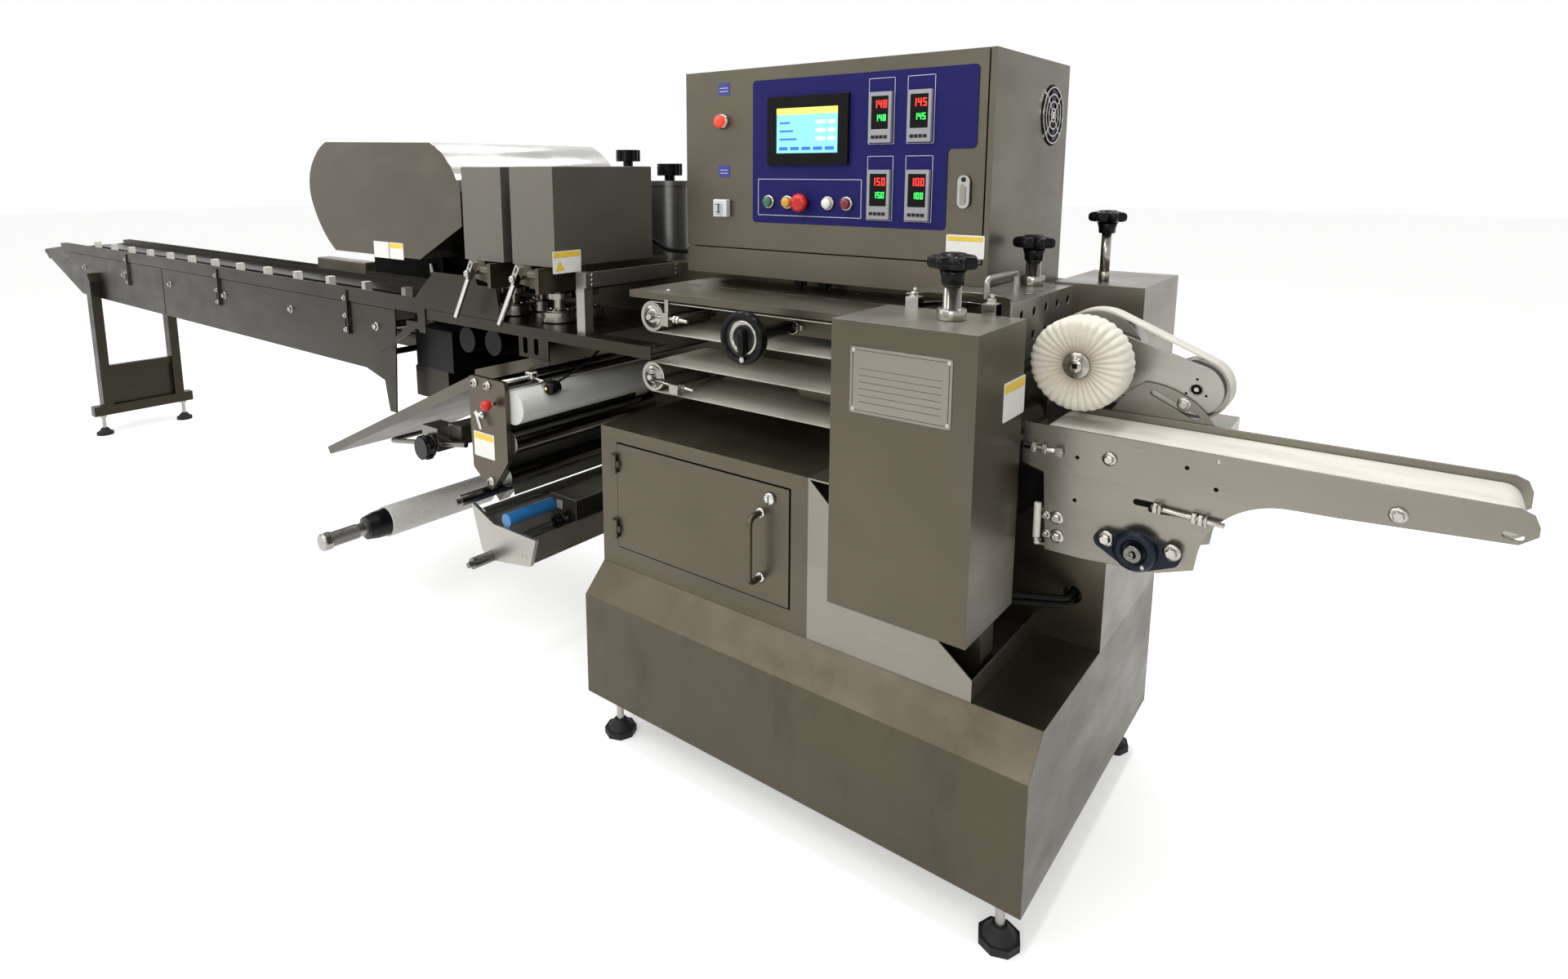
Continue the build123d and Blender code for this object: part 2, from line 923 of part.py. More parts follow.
# Fin sealing wheels in two pairs
fin_guard_bottom = 1048
fin_radius = 47
fin_nip = 0.5
pair_xs = (base_left - 518, base_left - 333)
with BuildPart() as fin_wheels:
    for pair_x in pair_xs:
        for side in (-1, 1):
            pair_y = line_y + side * (fin_radius + fin_nip)
            rod_z(table_top + 3, table_top + 13, pair_x, pair_y, fin_radius)
            rod_z(table_top + 13, table_top + 27, pair_x, pair_y, fin_radius * 0.92)
            rod_z(table_top + 27, carrier_bottom, pair_x, pair_y, 14)
            rod_z(table_top + 60, table_top + 74, pair_x, pair_y, fin_radius * 0.66)
finish(fin_wheels, "fin_wheels")

# Sheet boxes over the wheel pairs
fin_guard_front = base_front + 100
fin_guard_back = base_front + 424
fin_guard_top = 1280
fin_guard_spans = ((-535, -376), (-341, -185))
with BuildPart() as fin_guards:
    for left, right in fin_guard_spans:
        block(
            base_left + left,
            base_left + right,
            fin_guard_front,
            fin_guard_back,
            fin_guard_bottom,
            fin_guard_top,
        )
finish(fin_guards, "fin_guards")

# Opening levers: a slotted fork head on a pin, with a leaning rod
lever_xs = (base_left - 493, base_left - 311)
lever_length = 132
lever_radius = 7
lever_lean = 31
lever_y = base_front + 84
lever_z = 1016
pin_radius = 5
fork_width = 16
fork_half = 9
fork_top = 36
fork_bottom = 14


def fin_lever(x):
    """One lever, built leaning about its pin."""
    with Locations(Location((x, lever_y, lever_z), (0, lever_lean, 0))):
        with Locations((0, 0, (fork_top - fork_bottom) / 2)):
            Box(fork_width, 2 * fork_half, fork_top + fork_bottom)
        with Locations((0, 0, -lever_length / 2 - 6)):
            Cylinder(lever_radius, lever_length)
        with Locations((0, 0, fork_top - 12)):
            Box(5, 2 * fork_half, 16, mode=Mode.SUBTRACT)
    rod_y(
        lever_y - fork_half,
        lever_y + fork_half,
        x,
        lever_z,
        pin_radius + pin_play,
        mode=Mode.SUBTRACT,
    )


with BuildPart() as fin_lever_left:
    fin_lever(lever_xs[0])
finish(fin_lever_left, "fin_lever_left")

with BuildPart() as fin_lever_right:
    fin_lever(lever_xs[1])
finish(fin_lever_right, "fin_lever_right")

# Slide blocks that carry the wheels, the guards, the lever pins and the springs
carrier_front = base_front + 108
slide_front = base_front + 196
carrier_spans = ((-528, -383), (-335, -193))
spring_radius = 11
with BuildPart() as fin_carriers:
    for (left, right), pin_x in zip(carrier_spans, lever_xs):
        block(
            base_left + left,
            base_left + right,
            slide_front,
            wall_front,
            carrier_bottom,
            fin_guard_bottom,
        )
        side_plate(
            [
                (pin_x - 22, lever_z - 16),
                (pin_x + 24, lever_z - 22),
                (pin_x + 62, carrier_bottom),
                (pin_x + 96, carrier_bottom),
                (pin_x + 96, lever_z + 4),
                (pin_x + 44, lever_z - 4),
                (pin_x + 26, fin_guard_bottom),
                (pin_x - 22, fin_guard_bottom),
            ],
            carrier_front,
            slide_front,
        )
        rod_y(lever_y - fork_half - 3, carrier_front, pin_x, lever_z, pin_radius)
        rod_x(pin_x + 50, pin_x + 84, lever_y + 4, lever_z + 14, spring_radius)
        block(
            pin_x + 84,
            pin_x + 96,
            lever_y - 10,
            slide_front,
            carrier_bottom,
            lever_z + 30,
        )
finish(fin_carriers, "fin_carriers")

# Bridge: post on the table and bar to the rear wall
bridge_x = base_left - 156
bridge_front = base_front + 148
with BuildPart() as sealer_bridge:
    block(bridge_x - 14, bridge_x + 14, bridge_front, bridge_front + 26, table_top, 1036)
    block(bridge_x + 14, bridge_x + 20, bridge_front, wall_front, 1000, 1036)
finish(sealer_bridge, "sealer_bridge")

# Drum hood with its bulged back and rounded shoulder
hood_front = base_front + 100
hood_back = base_front + 660
hood_bottom = rear_top
hood_right = base_left - 543
with BuildPart() as drum_hood:
    with BuildSketch(Plane.XZ.offset(-hood_back)) as hood_face:
        with BuildLine():
            Line((hood_right - 199, hood_bottom), (hood_right - 650, hood_bottom))
            ThreePointArc(
                (hood_right - 650, hood_bottom),
                (hood_right - 738.7, 1117.5),
                (hood_right - 790, 1228),
            )
            ThreePointArc(
                (hood_right - 790, 1228),
                (hood_right - 745, 1306),
                (hood_right - 665, 1355),
            )
            Line((hood_right - 665, 1355), (hood_right - 125, 1343))
            ThreePointArc((hood_right - 125, 1343), (hood_right - 46, 1294), (hood_right, 1218))
            Line((hood_right, 1218), (hood_right, 1130))
            Line((hood_right, 1130), (hood_right - 199, hood_bottom))
        make_face()
        fillet(hood_face.vertices().sort_by(Axis.X)[0], 110)
    extrude(amount=hood_back - hood_front)
finish(drum_hood, "drum_hood")

# Geared motor of the fin wheels and the feed motors under the table
motor_y = base_front + 570
motor_radius = 60
motor_lid = 13
motor_spots = ((base_left - 255, 1230), (base_left - 415, 1269))
feed_motor_spots = ((base_left - 691, 803), (base_left - 572, 809))
feed_box_bottom = 695
with BuildPart() as drive_motors:
    for spot_x, lid_bottom in motor_spots:
        rod_z(rear_top, lid_bottom, spot_x, motor_y, motor_radius)
        rod_z(lid_bottom, lid_bottom + motor_lid, spot_x, motor_y, motor_radius + 4)
    for spot_x, spot_z in feed_motor_spots:
        rod_y(base_front + 200, wall_front, spot_x, spot_z, 36)
    block(base_left - 950, base_left - 764, base_front + 200, wall_front, feed_box_bottom, 815)
finish(drive_motors, "drive_motors")

# Lobed hand knobs: two on the motor lids, two on the belt cover plate
motor_knob_radius = 35
cover_knob_radius = 15
cover_knob_spots = ((base_right - 727, base_front + 438), (base_right - 667, base_front + 449))


def lobed_knob(x, y, seat_z, radius, height):
    """A hand knob with a stem, seven lobes and a low cap."""
    rod_z(seat_z, seat_z + 0.3 * height, x, y, 0.4 * radius)
    with BuildSketch(Plane.XY.offset(seat_z + 0.3 * height)) as lobes:
        with Locations((x, y)):
            Circle(radius * 0.8)
            with PolarLocations(radius * 0.74, knob_lobes):
                Circle(radius * 0.26)
    extrude(lobes.sketch, amount=0.7 * height)


with BuildPart() as adjusting_knobs:
    for spot_x, lid_bottom in motor_spots:
        lobed_knob(spot_x, motor_y, lid_bottom + motor_lid, motor_knob_radius, 46)
    for spot_x, spot_y in cover_knob_spots:
        lobed_knob(spot_x, spot_y, cover_top, cover_knob_radius, 22)
finish(adjusting_knobs, "adjusting_knobs")

# Cables held at both ends: a pair from the column to the housing leg, a hose behind the guards
cable_radius = 6
cable_gap = 13
cable_end_x = housing_right - 43
hose_y = base_front + 462


def held_cable(bend, *points):
    """A cable along straight runs with rounded turns."""
    with BuildLine() as route:
        FilletPolyline(*points, radius=bend)
    with BuildSketch(Plane(origin=route.line @ 0, z_dir=route.line % 0)) as ring:
        Circle(cable_radius)
    sweep(ring.sketch, path=route.line)


with BuildPart() as machine_cables:
    for start_z in (cable_hole_z - cable_gap / 2, cable_hole_z + cable_gap / 2):
        held_cable(
            28,
            (cable_hole_x, column_front + 24, start_z),
            (cable_hole_x, column_front - 36, start_z),
            (cable_end_x, housing_back + 45, start_z + 22),
            (cable_end_x, housing_back, start_z + 22),
        )
    held_cable(
        18,
        (base_left - 246, fin_guard_back, 1136),
        (base_left - 246, hose_y - 4, 1136),
        (base_left - 243, hose_y, 1100),
        (base_left - 163, hose_y, 1066),
        (cabinet_left, hose_y, 1066),
    )
finish(machine_cables, "machine_cables")

# Infeed conveyor side plates
infeed_front = base_front + 145
infeed_back = base_front + 415
infeed_nose = base_right - infeed_reach
infeed_end = base_left - 963
infeed_bottom = 670
infeed_plate = 4
infeed_outline = [
    (infeed_nose, 846),
    (infeed_nose + 8, 862),
    (infeed_nose + 400, 900),
    (infeed_end, 900),
    (infeed_end, 828),
    (infeed_end - 25, 552),
    (infeed_end - 60, 552),
    (infeed_end - 80, 645),
    (infeed_end - 182, infeed_bottom),
    (infeed_nose + 554, infeed_bottom),
]
with BuildPart() as infeed_sides:
    side_plate(infeed_outline, infeed_front, infeed_front + infeed_plate)
    side_plate(infeed_outline, infeed_back - infeed_plate, infeed_back)
    block(infeed_end - 170, infeed_end - 20, infeed_back, wall_front, 700, 850)
    block(
        infeed_end + 4,
        infeed_end + 171,
        infeed_front + 55,
        infeed_front + 145,
        604,
        feed_box_bottom,
    )
finish(infeed_sides, "infeed_sides")

# Guide rails along the top and their slotted adjusters
rail_bottom = 872
rail_top = 915
rail_thick = 4
adjuster_shares = (0.36, 0.64, 0.92)
with BuildPart() as infeed_rails:
    for rail_y in (infeed_front - rail_thick, infeed_back):
        side_plate(
            [
                (infeed_nose + 330, rail_bottom),
                (infeed_end + 140, rail_bottom),
                (infeed_end + 140, rail_top),
                (infeed_nose + 400, rail_top),
                (infeed_nose + 300, rail_top - 8),
            ],
            rail_y,
            rail_y + rail_thick,
        )
    for share in adjuster_shares:
        strap_x = infeed_nose + share * (infeed_end - infeed_nose)
        strap_y = infeed_front - 2 * rail_thick
        block(strap_x - 12, strap_x + 12, strap_y, strap_y + rail_thick, rail_top - 150, rail_top - 10)
        slot_y(strap_x, rail_top - 110, 60, 9, strap_y, strap_y + rail_thick, angle=90)
finish(infeed_rails, "infeed_rails")

# Bed plates and tie bars
bed_top = 884
slot_half = 18
tie_count = 6
tie_z = 705
with BuildPart() as infeed_bed:
    for y0, y1 in (
        (infeed_front + infeed_plate, line_y - slot_half),
        (line_y + slot_half, infeed_back - infeed_plate),
    ):
        block(infeed_nose + 240, infeed_end, y0, y1, bed_top - 3, bed_top)
    for tie in range(tie_count):
        tie_x = infeed_nose + 720 + tie * (infeed_end - infeed_nose - 900) / (tie_count - 1)
        rod_y(infeed_front + infeed_plate, infeed_back - infeed_plate, tie_x, tie_z, 10)
finish(infeed_bed, "infeed_bed")

# Pusher chain with its sprockets
chain_left = infeed_nose + 300
chain_right = infeed_end - 60
chain_z = bed_top - 70
chain_radius = 50
chain_thick = 12
pusher_pitch = 240
pusher_half = 12
pusher_rise = 24
pusher_count = int((chain_right - chain_left - 100) / pusher_pitch)
with BuildPart() as chain_sprockets:
    for sprocket_x in (chain_left, chain_right):
        rod_y(line_y - 8, line_y + 8, sprocket_x, chain_z, chain_radius - seat_gap)
        rod_y(
            infeed_front + infeed_plate,
            infeed_back - infeed_plate,
            sprocket_x,
            chain_z,
            12,
        )
finish(chain_sprockets, "chain_sprockets")

with BuildPart() as pusher_chain:
    belt_loop(
        chain_left,
        chain_right,
        line_y - 10,
        line_y + 10,
        chain_z,
        chain_radius,
        chain_thick,
    )
    for count in range(pusher_count + 1):
        push_x = chain_left + 80 + count * pusher_pitch
        block(
            push_x - pusher_half,
            push_x + pusher_half,
            line_y - pusher_half,
            line_y + pusher_half,
            chain_z + chain_radius + 4,
            bed_top + pusher_rise,
        )
finish(pusher_chain, "pusher_chain")

# Infeed stand: pointed posts, foot bar, cross bar and skirt
post_depth = 40
post_width = 64
post_shoulder = 752
post_point = 790
cross_bar_z = 322
foot_bar_height = 46
foot_bar_half = 215
stand_foot_top = stand_foot_bottom + foot_bar_height
with BuildPart() as infeed_stand:
    with BuildSketch(Plane.XY.offset(stand_foot_bottom)):
        with Locations((stand_x, line_y)):
            Rectangle(50, 2 * foot_bar_half)
    extrude(amount=foot_bar_height)
    for post_y in (infeed_front - post_depth, infeed_back):
        side_plate(
            [
                (stand_x - post_width / 2, stand_foot_top),
                (stand_x + post_width / 2, stand_foot_top),
                (stand_x + post_width / 2, post_shoulder),
                (stand_x, post_point),
                (stand_x - post_width / 2, post_shoulder),
            ],
            post_y,
            post_y + post_depth,
        )
    block(stand_x - 15, stand_x + 15, infeed_front, infeed_back, cross_bar_z - 15, cross_bar_z + 15)
    block(stand_x - 2, stand_x + 2, infeed_front, infeed_back, stand_foot_top, cross_bar_z - 15)
finish(infeed_stand, "infeed_stand")

# Scrap chute: a tilted channel with two flanges
chute_front = base_front + 50
chute_back = base_front + 300
chute_flange = 34
chute_low = (base_left - 1224, 400)
chute_high = (base_left - 462, 728)
with BuildPart() as scrap_chute:
    side_plate(
        [
            chute_low,
            chute_high,
            (chute_high[0], chute_high[1] + sheet),
            (chute_low[0], chute_low[1] + sheet),
        ],
        chute_front,
        wall_front,
    )
    for flange_y in (chute_front, chute_back):
        side_plate(
            [
                chute_low,
                chute_high,
                (chute_high[0], chute_high[1] + chute_flange),
                (chute_low[0] - 14, chute_low[1] + chute_flange * 0.6),
            ],
            flange_y,
            flange_y + sheet,
        )
finish(scrap_chute, "scrap_chute")

# Film unwind: bearing plate and its rollers
film_front = base_front
film_plate_thick = 12
with BuildPart() as film_plate:
    side_plate(
        [
            (base_left - 403, 783),
            (base_left - 260, 783),
            (base_left - 260, 588),
            (base_left - 328, 502),
            (base_left - 397, 552),
        ],
        film_front,
        film_front + film_plate_thick,
        corner=14,
    )
finish(film_plate, "film_plate")

film_roller_places = (
    (base_left - 378, 752, 14),
    (base_left - 290, 764, 9),
    (base_left - 265, 634, 28),
    (base_left - 287, 545, 24),
    (base_left - 350, 605, 22),
)
sleeve_places = ((base_left - 358, 492, 70, wall_front), (base_left - 343, 332, 55, film_front))
with BuildPart() as film_rollers:
    for roller_x, roller_z, radius in film_roller_places:
        rod_y(film_front + film_plate_thick, wall_front, roller_x, roller_z, radius)
    for sleeve_x, sleeve_z, reach, sleeve_end in sleeve_places:
        rod_y(film_front - reach, sleeve_end, sleeve_x, sleeve_z, 14)
        rod_y(film_front - reach - 12, film_front - reach, sleeve_x, sleeve_z, 7)
finish(film_rollers, "film_rollers")

nip_x = base_left - 253
nip_z = 720
nip_radius = 40
with BuildPart() as nip_roller:
    rod_y(film_front + film_plate_thick + 3, wall_front - 20, nip_x, nip_z, nip_radius)
    rod_y(wall_front - 20, wall_front, nip_x, nip_z, 12)
finish(nip_roller, "nip_roller")

# Film shaft: threaded tip, cone, core tube and tail in the arm
shaft_tip = base_front - shaft_reach
core_front = base_front + 77
core_back = wall_front - 50
core_radius = 46
shaft_radius = 20
chuck_radius = 34
with BuildPart() as film_shaft:
    with BuildSketch(Plane.YZ.offset(shaft_x)):
        with BuildLine():
            Polyline(
                (shaft_tip, shaft_z),
                (shaft_tip, shaft_z + shaft_radius + 2),
                (shaft_tip + 4, shaft_z + shaft_radius + 5),
                (shaft_tip + 26, shaft_z + shaft_radius + 5),
                (shaft_tip + 26, shaft_z + shaft_radius),
                (core_front - 66, shaft_z + shaft_radius),
                (core_front - 64, shaft_z + chuck_radius),
                (core_front - 34, shaft_z + chuck_radius + 6),
                (core_front, shaft_z + core_radius - 4),
                (core_front, shaft_z + core_radius),
                (core_back, shaft_z + core_radius),
                (core_back, shaft_z + shaft_radius),
                (wall_front - seat_gap, shaft_z + shaft_radius),
                (wall_front - seat_gap, shaft_z),
                close=True,
            )
        make_face()
    revolve(axis=Axis((shaft_x, 0, shaft_z), (0, 1, 0)))
finish(film_shaft, "film_shaft")

# Lower film tray with its tie bars, tension cylinder and box
tray_plate_thick = 10
with BuildPart() as film_tray:
    side_plate(
        [
            (base_left - 416, 454),
            (base_left - 379, 340),
            (base_left - 343, 321),
            (base_left - 192, 348),
            (base_left - 169, 419),
            (base_left - 327, 419),
        ],
        film_front,
        film_front + tray_plate_thick,
    )
    for tie_x, tie_z in (
        (base_left - 383, 432),
        (base_left - 352, 345),
        (base_left - 204, 395),
    ):
        rod_y(film_front + tray_plate_thick, wall_front, tie_x, tie_z, 12)
    block(
        base_left - 196,
        base_left - 192,
        film_front + tray_plate_thick,
        wall_front,
        352,
        412,
    )
finish(film_tray, "film_tray")

# Bent film guide bar with its clamp block and hand knob
bow_front = base_front + 60
bow_back = base_front + 190
bow_radius = 7
clamp_block_x = base_left - 657
with BuildPart() as film_bow:
    with BuildLine() as bow_path:
        FilletPolyline(
            (base_left - 514, bow_front, 567),
            (base_left - 884, bow_front, 508),
            (base_left - 884, bow_back, 508),
            (base_left - 417, bow_back, 582),
            (base_left - 417, wall_front, 582),
            radius=24,
        )
    with BuildSketch(Plane(origin=bow_path.line @ 0, z_dir=bow_path.line % 0)):
        Circle(bow_radius)
    sweep(path=bow_path.line)
    block(
        clamp_block_x - 36,
        clamp_block_x + 36,
        bow_front - 14,
        bow_front + 44,
        530,
        594,
    )
    block(
        clamp_block_x + 36,
        clamp_block_x + 94,
        bow_front + 20,
        bow_back + 8,
        552,
        602,
    )
    rod_y(bow_front - 44, bow_front - 14, clamp_block_x, 540, 30)
finish(film_bow, "film_bow")

with BuildPart() as tension_cylinder:
    rod_y(film_front + tray_plate_thick, film_front + 150, base_left - 290, 434, 17)
finish(tension_cylinder, "tension_cylinder")

# Outfeed conveyor
outfeed_front = base_front + 195
outfeed_back = outfeed_front + 125
outfeed_top = 855
outfeed_plate = 4
outfeed_belt_top = 853
nose_radius = 18
outfeed_axis = outfeed_belt_top - nose_radius - 3
arc_radius = 118
arc_x = base_right + 285
arc_z = 676


def outfeed_plate_face(y0, y1, top):
    """One side plate, with the hollow under the belt and the long nose."""
    with BuildSketch(Plane.XZ.offset(-y1)) as face:
        with BuildLine():
            Polyline(
                (base_right + 168, arc_z + 16),
                (base_right + 165, 668),
                (base_right + 115, 649),
                (base_right, column_top),
                (base_right - 60, column_top),
                (base_right - 69, 774),
                (base_right - 107, 784),
                (base_right - 105, top),
                (base_right + outfeed_reach - 20, top),
                (base_right + outfeed_reach - 6, top - 6),
                (base_right + outfeed_reach, top - 20),
                (base_right + outfeed_reach, 823),
                (base_right + outfeed_reach - 18, 808),
                (base_right + 338, 796),
                (arc_x, arc_z + arc_radius),
            )
            ThreePointArc(
                (arc_x, arc_z + arc_radius),
                (
                    arc_x - arc_radius * math.sin(math.radians(45)),
                    arc_z + arc_radius * math.cos(math.radians(45)),
                ),
                (base_right + 168, arc_z + 16),
            )
        make_face()
    extrude(face.sketch, amount=y1 - y0)


with BuildPart() as outfeed_sides:
    outfeed_plate_face(outfeed_front, outfeed_front + outfeed_plate, outfeed_top)
    outfeed_plate_face(outfeed_back - outfeed_plate, outfeed_back, outfeed_top + 10)
    slot_y(
        base_right + outfeed_reach - 24,
        818,
        22,
        9,
        outfeed_front,
        outfeed_front + outfeed_plate,
        angle=-5,
    )
    slot_y(
        base_right + 130,
        752,
        70,
        10,
        outfeed_front,
        outfeed_front + outfeed_plate,
        angle=4,
    )
    block(
        base_right - 55,
        base_right - 15,
        outfeed_back,
        column_front + 12,
        column_top,
        column_top + 30,
    )
finish(outfeed_sides, "outfeed_sides")

belt_gap = 2
outfeed_left = base_right - 60
outfeed_right = base_right + outfeed_reach - 31
with BuildPart() as outfeed_belt:
    belt_loop(
        outfeed_left,
        outfeed_right,
        outfeed_front + outfeed_plate + belt_gap,
        outfeed_back - outfeed_plate - belt_gap,
        outfeed_axis,
        nose_radius,
        3,
    )
finish(outfeed_belt, "outfeed_belt")

with BuildPart() as outfeed_rollers:
    for roller_x in (outfeed_left, outfeed_right):
        rod_y(
            outfeed_front + outfeed_plate + belt_gap,
            outfeed_back - outfeed_plate - belt_gap,
            roller_x,
            outfeed_axis,
            nose_radius - seat_gap,
        )
        rod_y(
            outfeed_front + outfeed_plate,
            outfeed_back - outfeed_plate,
            roller_x,
            outfeed_axis,
            8,
        )
    for roller_x in (base_right + 34, base_right + 402):
        rod_y(
            outfeed_front + outfeed_plate,
            outfeed_back - outfeed_plate,
            roller_x,
            outfeed_axis,
            7,
        )
    rod_y(
        outfeed_front + outfeed_plate,
        outfeed_back - outfeed_plate,
        base_right + 84,
        690,
        32,
    )
finish(outfeed_rollers, "outfeed_rollers")

# Two-bolt flange bearing of the drive roller
bearing_x = base_right + 84
bearing_z = 678
bearing_pitch = 99
with BuildPart() as outfeed_bearing:
    with BuildSketch(Plane.XZ.offset(-outfeed_front)) as flange:
        with Locations((bearing_x, bearing_z)):
            Circle(31)
        with Locations(
            (bearing_x - bearing_pitch / 2, bearing_z + 8),
            (bearing_x + bearing_pitch / 2, bearing_z + 4),
        ):
            Circle(14)
        make_hull()
    extrude(amount=12)
    rod_y(outfeed_front - 20, outfeed_front - 12, bearing_x, bearing_z, 23)
    rod_y(outfeed_front - 26, outfeed_front - 20, bearing_x, bearing_z, 13)
finish(outfeed_bearing, "outfeed_bearing")

# Pleated brush wheel, turning in the boss of the press arm
brush_x = base_right - 36
brush_z = 955
brush_radius = 79
brush_dip = 4
pleats = 30
brush_front = base_front + 225
brush_back = brush_front + 58
hub_radius = 21
brush_shaft = 10
bracket_front = outfeed_back + 1
bracket_thick = 4
arm_front = bracket_front + bracket_thick + 3
bore_depth = 12
with BuildPart() as brush_wheel:
    with BuildSketch(Plane.XZ.offset(-brush_back)) as pleated_disc:
        with BuildLine():
            Polyline(
                *[
                    (
                        brush_x
                        + (brush_radius - brush_dip * (step % 2)) * math.cos(math.pi * step / pleats),
                        brush_z
                        + (brush_radius - brush_dip * (step % 2)) * math.sin(math.pi * step / pleats),
                    )
                    for step in range(2 * pleats)
                ],
                close=True,
            )
        make_face()
    extrude(amount=brush_back - brush_front)
    with BuildSketch(Plane.XZ.offset(-(brush_front + 4))) as pleat_grooves:
        with Locations((brush_x, brush_z)):
            with PolarLocations((brush_radius + hub_radius) / 2, pleats, start_angle=180 / pleats):
                Rectangle(brush_radius - hub_radius, 3)
    extrude(amount=4, mode=Mode.SUBTRACT)
    rod_y(brush_front - 6, brush_front + 4, brush_x, brush_z, hub_radius)
    rod_y(brush_back, arm_front + bore_depth - 1, brush_x, brush_z, brush_shaft)
finish(brush_wheel, "brush_wheel")

# Press arm: plate with the boss of the brush, big pulley and small pulley
press_belt_front = arm_front + 16
press_belt_back = press_belt_front + 38
big_pulley = 76
small_pulley = 48
press_tip_x = base_right + 123
press_tip_z = 918
press_thick = 3
arm_thick_plate = 5
slot_angle = -25
with BuildPart() as press_arm:
    with BuildSketch(Plane.XZ.offset(-(arm_front + arm_thick_plate))) as arm_face:
        with Locations((brush_x, brush_z)):
            Circle(52)
        with Locations((press_tip_x, press_tip_z)):
            Circle(small_pulley - 6)
        make_hull()
    extrude(amount=arm_thick_plate)
    rod_y(arm_front + arm_thick_plate, press_belt_back, brush_x, brush_z, 2.4 * brush_shaft)
    rod_y(press_belt_front, press_belt_back, brush_x, brush_z, big_pulley - seat_gap)
    rod_y(press_belt_back, wall_front, brush_x, brush_z, 1.2 * brush_shaft)
    rod_y(
        arm_front,
        arm_front + bore_depth,
        brush_x,
        brush_z,
        brush_shaft + pin_play,
        mode=Mode.SUBTRACT,
    )
    rod_y(
        arm_front + arm_thick_plate,
        press_belt_back,
        press_tip_x,
        press_tip_z,
        9,
    )
    rod_y(
        press_belt_front,
        press_belt_back,
        press_tip_x,
        press_tip_z,
        small_pulley - seat_gap,
    )
finish(press_arm, "press_arm")

with BuildPart() as press_bracket:
    with BuildSketch(Plane.XZ.offset(-(bracket_front + bracket_thick))):
        with BuildLine():
            Polyline(
                (base_right + 48, 921),
                (base_right + 24, 904),
                (base_right - 4, 862),
                (base_right - 4, 830),
                (base_right + 158, 830),
                (base_right + 158, 864),
            )
            ThreePointArc(
                (base_right + 158, 864),
                (base_right + 115, 904),
                (base_right + 48, 921),
            )
        make_face()
        with Locations((base_right + 96, 889)):
            SlotOverall(84, 11, rotation=slot_angle, mode=Mode.SUBTRACT)
    extrude(amount=bracket_thick)
    block(
        base_right - 4,
        base_right + 176,
        bracket_front + bracket_thick,
        bracket_front + 110,
        856,
        859,
    )
    block(
        base_right + 172,
        base_right + 176,
        bracket_front + bracket_thick,
        bracket_front + 110,
        838,
        856,
    )
    for foot_x in (base_right + 10, base_right + 130):
        rod_y(outfeed_back, bracket_front, foot_x, 836, 8)
finish(press_bracket, "press_bracket")

# Belt of the press arm round a big and a small pulley
with BuildPart() as press_belt:
    with BuildSketch(Plane.XZ.offset(-press_belt_back)) as press_outer:
        with Locations((brush_x, brush_z)):
            Circle(big_pulley + press_thick)
        with Locations((press_tip_x, press_tip_z)):
            Circle(small_pulley + press_thick)
        make_hull()
    extrude(amount=press_belt_back - press_belt_front)
    with BuildSketch(Plane.XZ.offset(-press_belt_back)) as press_inner:
        with Locations((brush_x, brush_z)):
            Circle(big_pulley)
        with Locations((press_tip_x, press_tip_z)):
            Circle(small_pulley)
        make_hull()
    extrude(amount=press_belt_back - press_belt_front, mode=Mode.SUBTRACT)
finish(press_belt, "press_belt")
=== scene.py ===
import random
from math import cos, pi, radians, sin

import bmesh
import bpy
from mathutils import Matrix, Vector


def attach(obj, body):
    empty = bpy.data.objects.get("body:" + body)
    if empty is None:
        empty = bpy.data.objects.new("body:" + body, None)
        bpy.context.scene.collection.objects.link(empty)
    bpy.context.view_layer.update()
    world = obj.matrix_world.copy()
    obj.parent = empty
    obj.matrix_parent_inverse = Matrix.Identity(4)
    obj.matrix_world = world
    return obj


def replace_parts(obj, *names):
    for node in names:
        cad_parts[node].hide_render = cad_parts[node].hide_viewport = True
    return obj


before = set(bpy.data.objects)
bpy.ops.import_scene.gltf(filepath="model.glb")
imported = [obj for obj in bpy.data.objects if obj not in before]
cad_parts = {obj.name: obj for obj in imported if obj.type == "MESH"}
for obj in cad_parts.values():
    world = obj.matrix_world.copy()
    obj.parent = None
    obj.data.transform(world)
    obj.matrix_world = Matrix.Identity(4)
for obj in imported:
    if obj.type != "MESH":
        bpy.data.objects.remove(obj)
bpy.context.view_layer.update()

# Right face and front face of the base, in the row frame
BASE_X = 2.4165
BASE_Y = -0.312
# Directions: along the flow, away from the operator, towards the operator, and up
RIGHT = Vector((1, 0, 0))
BACK = Vector((0, 1, 0))
OUT = Vector((0, -1, 0))
UP = Vector((0, 0, 1))


def at(x, y, z):
    """A row point from millimetres counted from the base's right face and front face."""
    return Vector((BASE_X + x / 1000, BASE_Y + y / 1000, z / 1000))


def add_object(name, data):
    made = bpy.data.objects.new(name, data)
    bpy.context.collection.objects.link(made)
    return made


def add_mesh(name, mesh, materials):
    data = bpy.data.meshes.new(name)
    mesh.to_mesh(data)
    mesh.free()
    for material in materials:
        data.materials.append(material)
    return add_object(name, data)


# Camera
data = bpy.data.cameras.new("camera")
camera = add_object("camera", data)
data.sensor_fit = "HORIZONTAL"
data.sensor_width = 36
data.lens = 20.163
data.shift_x = 0.03146
data.shift_y = -0.11244
eye = at(401.02, -1224.971, 1272.179)
right = Vector((0.7830438, 0.6219657, -0.0010442))
down = Vector((0.0994444, -0.1268558, -0.9869237))
ahead = Vector((-0.6139652, 0.7727007, -0.161184))
turn = Matrix((right, -down, -ahead)).transposed().to_4x4()
camera.matrix_world = Matrix.Translation(eye) @ turn
data.clip_start = 0.05
data.clip_end = 60
bpy.context.scene.camera = camera


